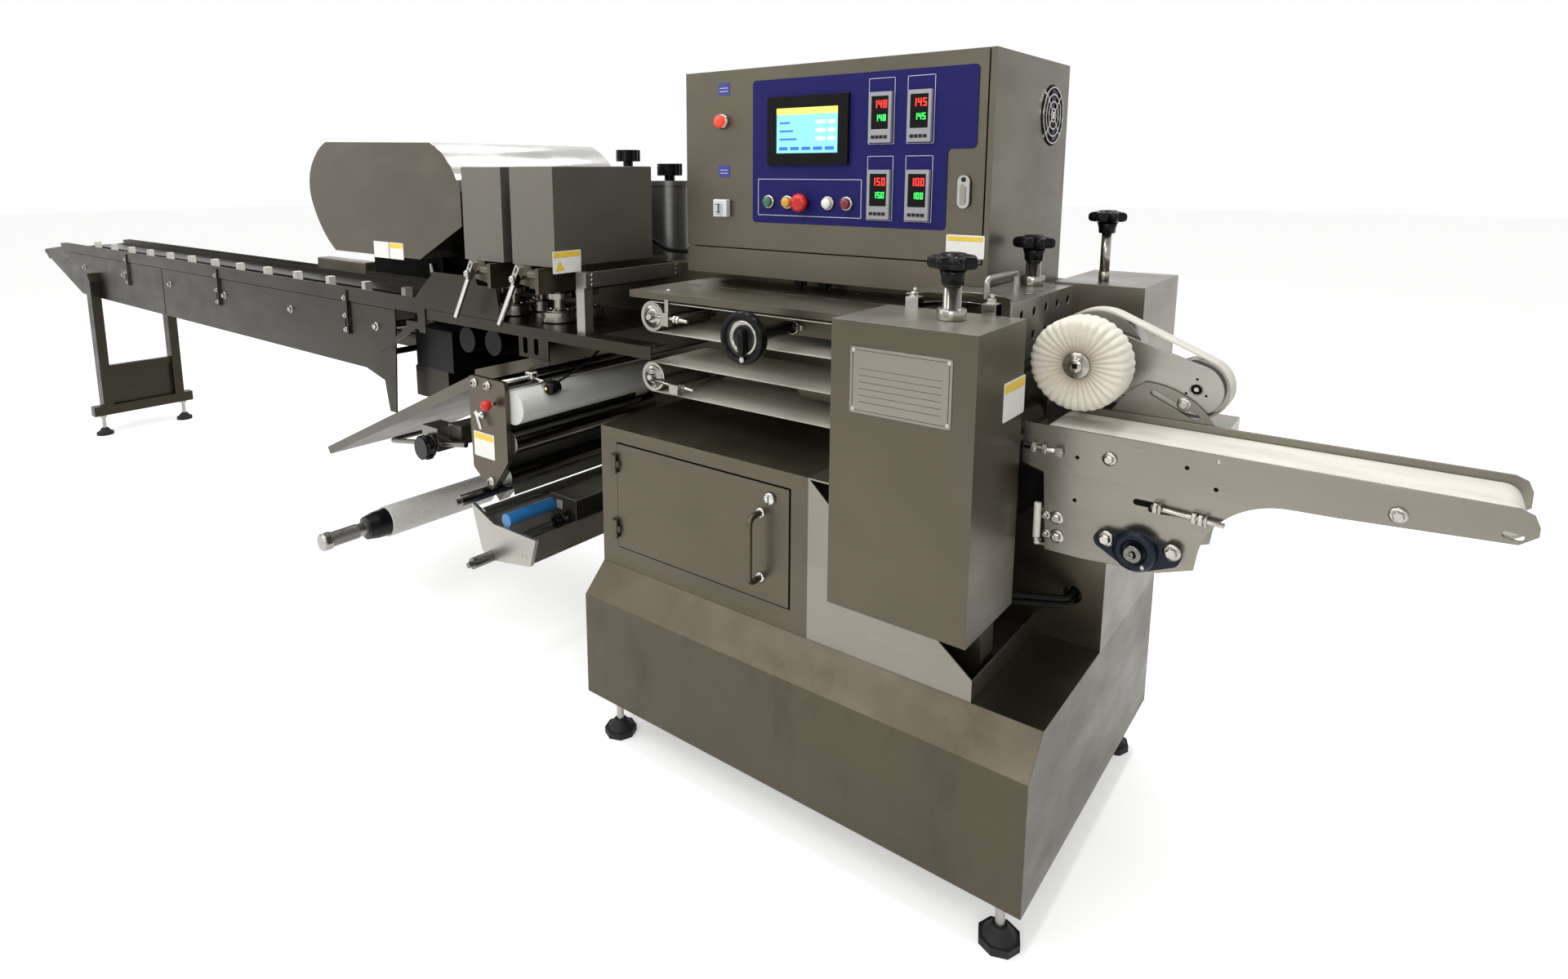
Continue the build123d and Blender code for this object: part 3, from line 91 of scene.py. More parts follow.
# Materials
def new_material(name):
    material = bpy.data.materials.new(name)
    material.use_nodes = True
    tree = material.node_tree
    tree.nodes.clear()
    shader = node(tree, "BsdfPrincipled")
    node(tree, "OutputMaterial", {0: shader.outputs[0]})
    return material, tree, shader


def feed(tree, made, inputs):
    """Link inputs of a node to other nodes' outputs, or set them to plain values."""
    for key, value in inputs.items():
        socket = made.inputs[key]
        if isinstance(value, bpy.types.NodeSocket):
            tree.links.new(value, socket)
        elif socket.type == "RGBA":
            socket.default_value = (*value, 1)
        else:
            socket.default_value = value


def node(tree, kind, inputs=None, **settings):
    made = tree.nodes.new("ShaderNode" + kind)
    for key, value in settings.items():
        setattr(made, key, value)
    feed(tree, made, inputs or {})
    return made


def place(tree, scale=(1, 1, 1)):
    """Object coordinates stretched by a scale for each axis."""
    coords = node(tree, "TexCoord")
    return node(tree, "Mapping", {0: coords.outputs["Object"], "Scale": scale}).outputs[0]


def noise(tree, scale, detail=4, rough=0.6, stretch=(1, 1, 1)):
    inputs = {"Vector": place(tree, stretch), "Scale": scale, "Detail": detail, "Roughness": rough}
    return node(tree, "TexNoise", inputs).outputs[0]


def ramp(tree, value, stops):
    made = node(tree, "ValToRGB", {0: value})
    while len(made.color_ramp.elements) < len(stops):
        made.color_ramp.elements.new(0.5)
    for element, (spot, colour) in zip(made.color_ramp.elements, stops):
        element.position = spot
        element.color = (*colour, 1)
    return made.outputs[0]


def shade(colour, factor):
    return tuple(min(1, c * factor) for c in colour)


def varied(tree, value, colour, share):
    """A colour that runs from a little darker to a little lighter."""
    return ramp(tree, value, [(0.3, shade(colour, 1 - share)), (0.7, shade(colour, 1 + share))])


def remap(tree, value, low, high, start=0.0, end=1.0):
    return node(tree, "MapRange", {0: value, 1: low, 2: high, 3: start, 4: end}).outputs[0]


def math_node(tree, operation, a, b=0.0):
    return node(tree, "Math", {0: a, 1: b}, operation=operation).outputs[0]


def mix_value(tree, factor, a, b):
    return node(tree, "Mix", {0: factor, 2: a, 3: b}).outputs[0]


def mix_colour(tree, factor, a, b, blend="MIX"):
    inputs = {0: factor, 6: a, 7: b}
    return node(tree, "Mix", inputs, data_type="RGBA", blend_type=blend).outputs[2]


def split(tree, vector):
    return node(tree, "SeparateXYZ", {0: vector}).outputs


def soft_edge(tree, radius):
    return node(tree, "Bevel", {"Radius": radius}, samples=4).outputs[0]


def bumps(tree, height, strength, depth, edge=None):
    """Fine relief of a surface, over edges that are rounded by a radius in metres."""
    inputs = {"Height": height, "Strength": strength, "Distance": depth}
    if edge:
        inputs["Normal"] = soft_edge(tree, edge)
    return node(tree, "Bump", inputs).outputs[0]


# Edge radius of folded sheet and of small parts, in metres
SHEET_EDGE = 0.0016
PART_EDGE = 0.0008


def brushed(name, colour, rough=0.34, metallic=0.9, grain=0.03, stain=0.0, spread=0.12, top=None):
    """Brushed sheet steel: fine grain lines, cloudy tone, soft folded edges and some stain.
    top is a painted highlight: the lighter colour given to the sheets that face up, in place of the light
    from the ceiling."""
    material, tree, shader = new_material(name)
    geometry = node(tree, "NewGeometry")
    upward = split(tree, geometry.outputs["Normal"])[2]
    flat = noise(tree, 1, stretch=(3, 3, 700))
    upper = noise(tree, 1, stretch=(3, 700, 3))
    lines = mix_value(tree, math_node(tree, "ABSOLUTE", upward), flat, upper)
    line_share = math_node(tree, "MULTIPLY", lines, 0.3)
    cloud_share = math_node(tree, "MULTIPLY", noise(tree, 2.2), 0.7)
    tone = math_node(tree, "ADD", line_share, cloud_share)
    base = varied(tree, tone, colour, spread)
    if stain:
        mask = remap(tree, noise(tree, 9, 6, 0.7, (1, 1, 0.5)), 0.52, 0.72, 0.0, stain)
        base = mix_colour(tree, mask, base, shade(colour, 0.42))
    # Painted highlight: faces turned up take the lighter top colour
    if top:
        base = mix_colour(tree, remap(tree, upward, 0.1, 0.7), base, top)
    smear = noise(tree, 6, 3, 0.5, (1, 1, 2))
    feed(tree, shader, {
        "Base Color": base,
        "Roughness": remap(tree, smear, 0.3, 0.7, rough - 0.06, rough + 0.08),
        "Metallic": metallic,
        "Normal": bumps(tree, lines, grain, 0.001, SHEET_EDGE),
    })
    return material


def smooth(name, colour, rough, vary=0.06, scale=60, bump=0.05, metallic=0.0, coat=0.0, specular=0.5):
    """Plastic, paint, rubber or polished metal with a slight unevenness."""
    material, tree, shader = new_material(name)
    cloud = noise(tree, scale)
    wear = noise(tree, scale / 3, 3, 0.5)
    feed(tree, shader, {
        "Base Color": varied(tree, cloud, colour, vary),
        "Roughness": remap(tree, wear, 0.3, 0.7, max(0.03, rough - 0.05), rough + 0.07),
        "Metallic": metallic,
        "Coat Weight": coat,
        "Specular IOR Level": specular,
        "Normal": bumps(tree, cloud, bump, 0.0005, PART_EDGE),
    })
    return material


def glowing(name, colour, strength):
    """A lit display or lamp."""
    material, tree, shader = new_material(name)
    tone = ramp(tree, noise(tree, 700, 1, 0.5), [(0.2, shade(colour, 0.9)), (0.8, colour)])
    feed(tree, shader, {
        "Base Color": tone,
        "Emission Color": tone,
        "Emission Strength": strength,
        "Roughness": 0.25,
    })
    return material


def banded(name, axis, first, *bands, specular=0.25):
    """One turned piece of several finishes along an axis. The first is (colour, roughness, metal),
    and each band after it has the place where it starts, in metres, before these."""
    material, tree, shader = new_material(name)
    along = split(tree, node(tree, "TexCoord").outputs["Object"])[axis]
    colour, rough, metal = first
    for start, next_colour, next_rough, next_metal in bands:
        past = math_node(tree, "GREATER_THAN", along, start)
        colour = mix_colour(tree, past, colour, next_colour)
        rough = mix_value(tree, past, rough, next_rough)
        metal = mix_value(tree, past, metal, next_metal)
    tone = ramp(tree, noise(tree, 90, 3), [(0.3, (0.86, 0.86, 0.86)), (0.7, (1, 1, 1))])
    feed(tree, shader, {
        "Base Color": mix_colour(tree, 1.0, colour, tone, "MULTIPLY"),
        "Roughness": rough,
        "Metallic": metal,
        "Specular IOR Level": specular,
        "Normal": soft_edge(tree, PART_EDGE),
    })
    return material


def woven(name, colour):
    """Woven conveyor belting, worn a little grey."""
    material, tree, shader = new_material(name)
    wear = noise(tree, 7, stretch=(1, 3, 3))
    inputs = {"Vector": place(tree), "Scale": 160, "Distortion": 0.6}
    weave = node(tree, "TexWave", inputs, bands_direction="DIAGONAL")
    feed(tree, shader, {
        "Base Color": ramp(tree, wear, [(0.3, shade(colour, 0.82)), (0.6, colour)]),
        "Roughness": 0.62,
        "Normal": bumps(tree, weave.outputs[1], 0.12, 0.0004),
    })
    return material


# Centre of the brush, and the radii of its cloth from the hub to the rim, in millimetres
BRUSH_X = -36
BRUSH_Y = 254
BRUSH_Z = 955
CLOTH_RADII = [20, 27, 36, 46, 56, 65, 71, 75.5, 78.5, 79]


def cloth():
    """Fluffy white cloth that turns yellowish near the hub of the brush."""
    material, tree, shader = new_material("brush_cloth")
    centre = at(BRUSH_X, BRUSH_Y, BRUSH_Z)
    vector = "VectorMath"
    coords = node(tree, "TexCoord").outputs["Object"]
    offset = node(tree, vector, {0: coords, 1: (centre.x, 0, centre.z)}, operation="SUBTRACT")
    flat = node(tree, vector, {0: offset.outputs[0], 1: (1, 0, 1)}, operation="MULTIPLY")
    radius = node(tree, vector, {0: flat.outputs[0]}, operation="LENGTH").outputs[1]
    worn = [(0.0, (0.36, 0.3, 0.21)), (0.5, (0.62, 0.56, 0.44)), (1.0, (0.72, 0.675, 0.57))]
    tone = ramp(tree, remap(tree, radius, 0.02, 0.055), worn)
    fuzz = noise(tree, 240, 4, 0.7)
    speck = ramp(tree, fuzz, [(0.25, (0.86, 0.86, 0.86)), (0.7, (1, 1, 1))])
    feed(tree, shader, {
        "Base Color": mix_colour(tree, 1.0, tone, speck, "MULTIPLY"),
        "Roughness": 0.8,
        "Sheen Weight": 0.3,
        "Subsurface Weight": 0.15,
        "Subsurface Radius": (0.006, 0.004, 0.003),
        "Normal": bumps(tree, fuzz, 0.25, 0.0006),
    })
    return material


BLACK = (0.0035, 0.0035, 0.0038)
steel = brushed("steel_brushed", (0.1, 0.087, 0.062))
steel_base = brushed("steel_base", (0.082, 0.071, 0.05), 0.38, stain=0.4)
steel_light = brushed("steel_light", (0.2, 0.18, 0.143), 0.3)
steel_infeed = brushed("steel_infeed", (0.038, 0.034, 0.025), 0.33, 0.96, 0.02)
steel_cabinet = brushed("steel_cabinet", (0.125, 0.113, 0.084))
# The top colours of the hood, the front housing and the cover plate are painted highlights on their upward
# faces
steel_hood = brushed(
    "steel_hood", (0.13, 0.115, 0.088), 0.21, 0.97, 0.006, spread=0.08, top=(0.72, 0.71, 0.68)
)
steel_housing = brushed("steel_housing", (0.095, 0.083, 0.06), top=(0.42, 0.4, 0.35))
steel_cover = brushed("steel_cover", (0.1, 0.088, 0.064), top=(0.25, 0.23, 0.19))
steel_guard = brushed("steel_guard", (0.14, 0.13, 0.11), 0.38, 0.6, 0.004, spread=0.06)
steel_chute = brushed("steel_chute", (0.1, 0.09, 0.07), 0.45, 0.3, 0.01)
steel_plate = brushed("steel_plate", (0.225, 0.21, 0.176), 0.3, 0.93, 0.015)
steel_pale = brushed("steel_pale", (0.34, 0.33, 0.3), 0.3, 0.9, 0.01)
machined = smooth("machined_steel", (0.33, 0.315, 0.28), 0.22, 0.04, 25, 0.01, 0.97)
chrome = smooth("chrome", (0.5, 0.49, 0.47), 0.1, 0.03, 20, 0.01, 1.0)
dark_chrome = smooth("dark_chrome", (0.16, 0.155, 0.145), 0.12, 0.05, 20, 0.01, 1.0)
zinc = smooth("zinc_fasteners", (0.42, 0.4, 0.36), 0.24, 0.08, 60, 0.02, 1.0)
film_dark = smooth("film_web", (0.085, 0.082, 0.07), 0.16, 0.3, 8, 0.1, specular=0.6)
# Painted light: the tray's steel sheets get a pale non-metal grey that lifts them out of the tray's shade
tray_sheet_painted_light = smooth("tray_sheet_painted_light", (0.36, 0.35, 0.31), 0.5, 0.1, 20, specular=0.4)
box_sheet = smooth("box_sheet", (0.42, 0.44, 0.47), 0.45, 0.05)
black_gloss = smooth("black_gloss", BLACK, 0.2, 0.15, 40, 0.02, specular=0.15)
black_satin = smooth("black_satin", (0.008, 0.008, 0.009), 0.42, 0.25, specular=0.2)
black_rubber = smooth("black_rubber", (0.004, 0.0038, 0.0036), 0.55, 0.3, 90, 0.2, specular=0.12)
# Flat black: painted shade in holes, slots, gaps and behind grilles, where shade falls; also the black of the
# nameplate's engraved lines
dark = smooth("shade_and_engraving_black", (0.004, 0.0037, 0.0033), 0.9, 0.3, 40, specular=0.1)
panel_blue = smooth("panel_blue", (0.012, 0.0115, 0.095), 0.42, 0.06, 30, 0.03, specular=0.12)
label_blue = smooth("label_blue", (0.03, 0.035, 0.24), 0.4)
line_white = smooth("line_white", (0.6, 0.6, 0.66), 0.5, 0.05, 90)
white_plastic = smooth("white_plastic", (0.72, 0.7, 0.64), 0.38)
label_white = smooth("label_white", (0.74, 0.73, 0.69), 0.45, 0.04)
label_yellow = smooth("label_yellow", (0.75, 0.52, 0.05), 0.45, 0.05)
grey_plastic = smooth("grey_plastic", (0.28, 0.28, 0.3), 0.5)
red_gloss = smooth("red_gloss", (0.5, 0.012, 0.01), 0.2, coat=0.2, specular=0.3)
red_dark = smooth("red_dark", (0.16, 0.008, 0.012), 0.25)
green_button = smooth("green_button", (0.02, 0.12, 0.07), 0.3)
yellow_button = smooth("yellow_button", (0.6, 0.3, 0.02), 0.3)
blue_paint = smooth("blue_paint", (0.02, 0.16, 0.4), 0.3, 0.08, coat=0.3)
navy_paint = smooth("navy_paint", (0.004, 0.0075, 0.0175), 0.36, 0.2, 40, 0.1, specular=0.2)
film_white = smooth("film_white", (0.55, 0.55, 0.52), 0.35, 0.05, 12, 0.2)
belt_white = woven("belt_white", (0.62, 0.595, 0.52))
belt_grey = woven("belt_grey", (0.5, 0.48, 0.41))
brush_cloth = cloth()
screen_cyan = glowing("screen_cyan", (0.2, 0.62, 0.66), 0.7)
screen_yellow = glowing("screen_yellow", (0.8, 0.66, 0.12), 0.8)
screen_blue = glowing("screen_blue", (0.03, 0.12, 0.5), 0.7)
screen_pale = glowing("screen_pale", (0.72, 0.8, 0.78), 0.8)
digit_red = glowing("digit_red", (1.0, 0.03, 0.02), 2.2)
digit_green = glowing("digit_green", (0.05, 1.0, 0.12), 1.8)
lamp_red = glowing("lamp_red", (0.85, 0.035, 0.012), 1.1)
motor_finish = banded(
    "motor_finish", 2, (BLACK, 0.36, 0.0), (0.9, (0.19, 0.19, 0.185), 0.32, 0.8), specular=0.12
)
bow_finish = banded("bow_finish", 1, (BLACK, 0.3, 0.0), (BASE_Y + 0.0457, (0.2, 0.19, 0.17), 0.25, 1.0))
foot_finish = banded(
    "foot_finish", 2, ((0.018, 0.018, 0.018), 0.6, 0.0), (0.0342, (0.4, 0.39, 0.37), 0.3, 1.0)
)
chain_finish = banded(
    "chain_finish", 2, ((0.16, 0.15, 0.13), 0.4, 0.9), (0.8765, (0.72, 0.7, 0.64), 0.38, 0.0)
)
film_core = banded(
    "film_core_finish",
    1,
    ((0.36, 0.35, 0.33), 0.3, 1.0),
    (BASE_Y + 0.011, BLACK, 0.3, 0.0),
    (BASE_Y + 0.0765, (0.66, 0.65, 0.62), 0.4, 0.0),
    (BASE_Y + 0.434, BLACK, 0.3, 0.0),
)

# The parts of each finish; those not named are plain brushed steel
FINISHES = (
    (steel_base, "base_plinth"),
    (steel_housing, "front_housing"),
    (steel_plate, "sealer_tray outfeed_sides press_bracket"),
    (steel_light, "rear_cover"),
    (steel_cabinet, "electrical_cabinet cabinet_door"),
    (steel_hood, "drum_hood"),
    (steel_guard, "fin_guards"),
    (steel_pale, "jaw_guard film_tray press_arm sealer_bridge"),
    (steel_cover, "belt_cover_plate"),
    (steel_infeed, "work_table forming_plate infeed_sides infeed_rails infeed_bed infeed_stand"),
    (steel_chute, "scrap_chute"),
    (machined, "end_jaws belt_rollers fin_wheels chain_sprockets outfeed_rollers"),
    (chrome, "jaw_clamp fin_lever_left fin_lever_right fan_guard"),
    (dark_chrome, "film_rollers"),
    (black_gloss, "adjusting_knobs touch_screen handwheel jaw_knob_front jaw_knob_rear height_knob"),
    (black_rubber, "machine_cables"),
    (panel_blue, "control_panel"),
    (grey_plastic, "temperature_controllers push_buttons"),
    (white_plastic, "brush_wheel"),
    (film_white, "nip_roller"),
    (navy_paint, "outfeed_bearing"),
    (blue_paint, "tension_cylinder"),
    (belt_grey, "carrier_belts"),
    (belt_white, "outfeed_belt press_belt"),
    (motor_finish, "drive_motors"),
    (bow_finish, "film_bow"),
    (foot_finish, "levelling_feet"),
    (chain_finish, "pusher_chain"),
    (film_core, "film_shaft"),
)
FINISH = {part: finish for finish, parts in FINISHES for part in parts.split()}
for name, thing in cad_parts.items():
    finish = FINISH.get(name, steel)
    if not thing.material_slots:
        thing.data.materials.append(finish)
    for slot in thing.material_slots:
        slot.material = finish


def directions(axis):
    """An axis and two directions across it."""
    axis = Vector(axis).normalized()
    across = axis.orthogonal().normalized()
    return axis, across, axis.cross(across)


# Detail pieces: all points and lengths are base millimetres
class Piece:
    """A joined mesh with one finish for each set of faces."""

    def __init__(self, name, body="machine", slot="steel"):
        self.name = name
        self.body = body
        self.slot = slot
        self.mesh = bmesh.new()
        self.finishes = []

    def paint(self, faces, material, soft):
        if material not in self.finishes:
            self.finishes.append(material)
        for face in faces:
            face.material_index = self.finishes.index(material)
            face.smooth = soft

    def corner(self, x, y, z):
        return self.mesh.verts.new(at(x, y, z))

    def circle(self, centre, across, other, radius, sides):
        """Corners round a centre, or the centre alone where the radius is zero."""
        if not radius:
            return [self.corner(*centre)]
        corners = []
        for step in range(sides):
            angle = 2 * pi * step / sides
            reach = radius * (cos(angle) * across + sin(angle) * other)
            corners.append(self.corner(*(centre + reach)))
        return corners

    def shell(self, rings, material, soft=True, ends="capped"):
        """Faces from each ring of corners to the next. The ends are capped, joined or open."""
        pairs = list(zip(rings, rings[1:]))
        if ends == "joined":
            pairs.append((rings[-1], rings[0]))
        faces = []
        for first, second in pairs:
            count = max(len(first), len(second))
            for step in range(count):
                after = (step + 1) % count
                if len(first) == 1:
                    corners = (first[0], second[step], second[after])
                elif len(second) == 1:
                    corners = (first[step], second[0], first[after])
                else:
                    corners = (first[step], second[step], second[after], first[after])
                faces.append(self.mesh.faces.new(corners))
        if ends == "capped":
            faces += [self.mesh.faces.new(ring) for ring in (rings[0], rings[-1]) if len(ring) > 1]
        self.paint(faces, material, soft)

    def box(self, x0, x1, y0, y1, z0, z1, material, bevel=0):
        low, high = at(x0, y0, z0), at(x1, y1, z1)
        corners = bmesh.ops.create_cube(self.mesh, size=1.0)["verts"]
        bmesh.ops.scale(self.mesh, vec=high - low, verts=corners)
        bmesh.ops.translate(self.mesh, vec=(low + high) / 2, verts=corners)
        faces = {face for corner in corners for face in corner.link_faces}
        if bevel:
            edges = {edge for corner in corners for edge in corner.link_edges}
            cut = bmesh.ops.bevel(
                self.mesh, geom=list(edges), offset=bevel / 1000, segments=2, profile=0.5, affect="EDGES"
            )
            faces = {face for face in faces if face.is_valid} | set(cut["faces"])
        self.paint(faces, material, False)

    def lathe(self, start, axis, profile, material, sides=24, ends="capped"):
        """Turn (radius, distance) pairs about an axis through start. Up to eight sides stay flat."""
        axis, across, other = directions(axis)
        rings = [
            self.circle(Vector(start) + axis * distance, across, other, radius, sides)
            for radius, distance in profile
        ]
        self.shell(rings, material, sides > 8, ends)

    def rod(self, start, end, radius, material, sides=20):
        """A round bar with chamfered ends."""
        along = Vector(end) - Vector(start)
        chamfer = min(0.6, radius * 0.3, along.length * 0.3)
        profile = [(radius - chamfer, 0), (radius, chamfer)]
        profile += [(radius, along.length - chamfer), (radius - chamfer, along.length)]
        self.lathe(start, along, profile, material, sides)

    def bolt(self, spot, axis, size, head, washer=True):
        """Hexagon head that stands on a surface, with or without a washer."""
        lift = 0
        if washer:
            lift = 1.4
            self.lathe(spot, axis, [(size * 0.85, 0), (size * 0.85, lift), (size * 0.5, 1.6)], zinc, 20)
        profile = [(size * 0.56, lift), (size * 0.56, lift + head * 0.8), (size * 0.46, lift + head)]
        self.lathe(spot, axis, profile, zinc, 6)

    def nut(self, spot, axis, face, radius, thick):
        """Hexagon nut: radius of its end faces, of its body, and its thickness."""
        profile = [(face, 0), (radius, 1), (radius, thick - 1), (face, thick)]
        self.lathe(spot, axis, profile, zinc, 6)

    def dome(self, spot, axis, radius, height=0.4, material=zinc):
        """Button head of a screw, its height as a share of the radius."""
        profile = [(radius * cos(a), radius * height * sin(a)) for a in (0, 0.5, 1.0, 1.35)]
        self.lathe(spot, axis, profile + [(0, radius * height)], material, 20)

    def flat_bar(self, start, end, width, thick, material):
        """A flat bar that faces the operator, between two points."""
        start, end = Vector(start), Vector(end)
        side = (end - start).cross(BACK).normalized() * width / 2
        deep = BACK * thick / 2
        section = (-side - deep, side - deep, side + deep, deep - side)
        rings = [[self.corner(*(spot + reach)) for reach in section] for spot in (start, end)]
        self.shell(rings, material, False)

    def plate(self, outline, low, high, material, sideways=False):
        """A flat plate that faces the operator, or along X, between two depths."""
        rings = []
        for depth in (low, high):
            spots = [(depth, u, v) if sideways else (u, depth, v) for u, v in outline]
            rings.append([self.corner(*spot) for spot in spots])
        self.shell(rings, material, False)

    def label(self, outline, face, printed=False, sideways=False):
        """A bare white sticker on a face towards the operator or along X, or the yellow print on it."""
        low, high, material = (0.6, 0.9, label_yellow) if printed else (0, 0.6, label_white)
        if sideways:
            self.plate(outline, face + low, face + high, material, True)
        else:
            self.plate(outline, face - high, face - low, material)

    def line_frame(self, x0, x1, z0, z1, half, front, back, material, reach=0):
        """Four thin bars round a rectangle that faces the operator. reach is how far they overlap."""
        for z in (z1, z0):
            self.box(x0 - reach, x1 + reach, front, back, z - half, z + half, material)
        for x in (x0, x1):
            self.box(x - half, x + half, front, back, z0 - reach, z1 + reach, material)

    def tube(self, path, radius, material, sides=10):
        """A round wire that follows close points."""
        path = [Vector(spot) for spot in path]
        across = None
        rings = []
        for step, spot in enumerate(path):
            ahead = (path[min(step + 1, len(path) - 1)] - path[max(step - 1, 0)]).normalized()
            if across is None:
                across = ahead.orthogonal().normalized()
            across = (across - ahead * across.dot(ahead)).normalized()
            rings.append(self.circle(spot, across, ahead.cross(across), radius, sides))
        self.shell(rings, material)

    def spring(self, start, end, radius, wire, turns, material):
        start, end = Vector(start), Vector(end)
        _, across, other = directions(end - start)
        steps = turns * 12
        points = []
        for step in range(steps + 1):
            angle = 2 * pi * turns * step / steps
            reach = radius * (cos(angle) * across + sin(angle) * other)
            points.append(start.lerp(end, step / steps) + reach)
        self.tube(points, wire, material, 6)

    def done(self):
        bmesh.ops.recalc_face_normals(self.mesh, faces=self.mesh.faces)
        made = add_mesh(self.name, self.mesh, self.finishes)
        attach(made, self.body)
        return made


def polar(x, z, radius, angle):
    """The point at a radius and an angle from a centre."""
    return x + radius * cos(angle), z + radius * sin(angle)


def span(x0, x1, z0, z1, radius):
    """Rectangle with round corners."""
    points = []
    for quarter in range(4):
        x = x0 + radius if quarter in (1, 2) else x1 - radius
        z = z0 + radius if quarter > 1 else z1 - radius
        for step in range(5):
            points.append(polar(x, z, radius, radians(90 * quarter + 22.5 * step)))
    return points


def around(x, z, radius, count, first):
    """Points spread evenly on a circle, from a first angle in degrees."""
    return [polar(x, z, radius, radians(360 * step / count + first)) for step in range(count)]


# Stage: pale floor and backdrop, white to the eye and in reflections
def seen_directly(tree):
    """One for rays from the eye, a reflection or glass, none for the rays that light the object."""
    paths = node(tree, "LightPath").outputs
    seen = math_node(tree, "MAXIMUM", paths["Is Camera Ray"], paths["Is Transmission Ray"])
    return math_node(tree, "MAXIMUM", seen, paths["Is Glossy Ray"])


def make_lamp(name, spot, target, size, power):
    data = bpy.data.lights.new(name, "AREA")
    data.shape = "RECTANGLE"
    data.size, data.size_y = size
    data.energy = power
    lamp = add_object(name, data)
    turn = (Vector(target) - Vector(spot)).to_track_quat("-Z", "Y").to_matrix().to_4x4()
    lamp.matrix_world = Matrix.Translation(Vector(spot)) @ turn


mesh = bmesh.new()
bmesh.ops.create_grid(mesh, x_segments=1, y_segments=1, size=30)
material, tree, shader = new_material("floor_pale")
grain = noise(tree, 3, 3, 0.5)
feed(tree, shader, {
    "Base Color": ramp(tree, grain, [(0.3, (0.8, 0.8, 0.795)), (0.7, (0.83, 0.83, 0.825))]),
    "Roughness": 0.9,
    "Emission Color": mix_colour(tree, seen_directly(tree), (0, 0, 0), (0.4, 0.4, 0.4)),
    "Emission Strength": 1.0,
})
floor = add_mesh("floor", mesh, [material])

world = bpy.data.worlds.new("studio")
bpy.context.scene.world = world
world.use_nodes = True
tree = world.node_tree
tree.nodes.clear()
height = split(tree, node(tree, "TexCoord").outputs["Generated"])[2]
room = ramp(
    tree,
    remap(tree, height, -0.2, 0.9),
    [(0.0, (0.3, 0.295, 0.29)), (0.35, (0.42, 0.415, 0.405)), (1.0, (0.8, 0.8, 0.8))],
)
backdrop = ramp(
    tree,
    remap(tree, height, 0.0, 1.0),
    [(0.0, (1, 1, 1)), (0.4, (1, 1, 1)), (0.62, (0.6, 0.6, 0.6)), (1.0, (0.55, 0.55, 0.55))],
)
plain = mix_colour(tree, seen_directly(tree), room, backdrop)
background = node(tree, "Background", {0: plain, 1: 1.0})
node(tree, "OutputWorld", {0: background.outputs[0]})

# Lamps
for index, x in enumerate((-0.9, 0.9, 2.6)):
    make_lamp(f"lamp_strip_{index}", (x, 0.6, 4.0), (x, 0.6, 0), (0.3, 3.8), 50)
make_lamp("lamp_overhead", (0.2, -2.9, 3.9), (1.2, 0, 0.6), (5.0, 1.5), 95)
make_lamp("lamp_front", (3.6, -4.4, 2.6), (1.4, 0, 0.7), (2.2, 1.6), 42)
make_lamp("lamp_left", (-4.0, -3.6, 2.6), (-0.8, 0, 0.8), (2.0, 1.4), 34)
bpy.context.scene.view_settings.view_transform = "Standard"


# Nameplate, bare label and clamp bolts of the front housing
def make_front_trim():
    piece = Piece("front_trim")
    front = -20
    piece.plate(span(-317, -140, 883, 992, 4), front - 1.2, front, steel_plate)
    groove, bottom = front - 1.5, front - 1.1
    piece.line_frame(-312, -145, 888, 987, 0.4, groove, bottom, dark)
    for row in range(6):
        z = 902 + row * 11
        piece.box(-300, -157, groove, bottom, z, z + 0.7, dark)
    for x in (-311, -146):
        for z in (889, 986):
            piece.dome((x, front - 1.2, z), OUT, 3.5)
    side = -102
    piece.label(span(87, 177, 876, 940, 3), side, sideways=True)
    piece.label(span(90, 174, 922, 937, 1.5), side, True, True)
    for x in (-300, -160):
        piece.bolt((x, 166, 1053), UP, 14, 7)
        piece.rod((x, 166, 1059), (x, 166, 1069), 4, zinc, 12)
    piece.done()


# Lock and handle feet of the lower door
def make_door_lock():
    piece = Piece("door_lock", "lower_door", "chrome")
    door = 57
    piece.lathe((-532, door, 658), OUT, [(12.5, 0), (12.5, 4), (10.5, 6.6), (6, 7.2), (0, 7.2)], chrome, 28)
    # Painted shade: a black bar for the key slot
    piece.box(-533.2, -530.8, 49.2, 50.2, 652, 664, dark)
    for z in (492, 624):
        piece.lathe((-555, door, z), OUT, [(10.5, 0), (10.5, 2), (7.5, 4)], chrome)
    piece.done()


make_front_trim()
make_door_lock()

# Bars of each seven-bar figure, and the figures of the controllers by row
SEGMENTS = {"0": "abcdef", "1": "bc", "4": "fgbc", "5": "afgcd", "8": "abcdefg"}
READINGS = (("148", "145"), ("150", "100"))


def digits(piece, text, x, z, height, y, material):
    """Seven-bar figures on a face towards the operator."""
    width = height * 0.5
    bar = height * 0.13
    shapes = {
        "a": (0, width, height - bar, height),
        "g": (0, width, (height - bar) / 2, (height + bar) / 2),
        "d": (0, width, 0, bar),
        "f": (0, bar, height / 2, height),
        "b": (width - bar, width, height / 2, height),
        "e": (0, bar, 0, height / 2),
        "c": (width - bar, width, 0, height / 2),
    }
    for count, figure in enumerate(text):
        left = x + count * width * 1.42
        for name in SEGMENTS[figure]:
            x0, x1, z0, z1 = shapes[name]
            piece.box(left + x0, left + x1, y - 0.5, y, z + z0, z + z1, material)


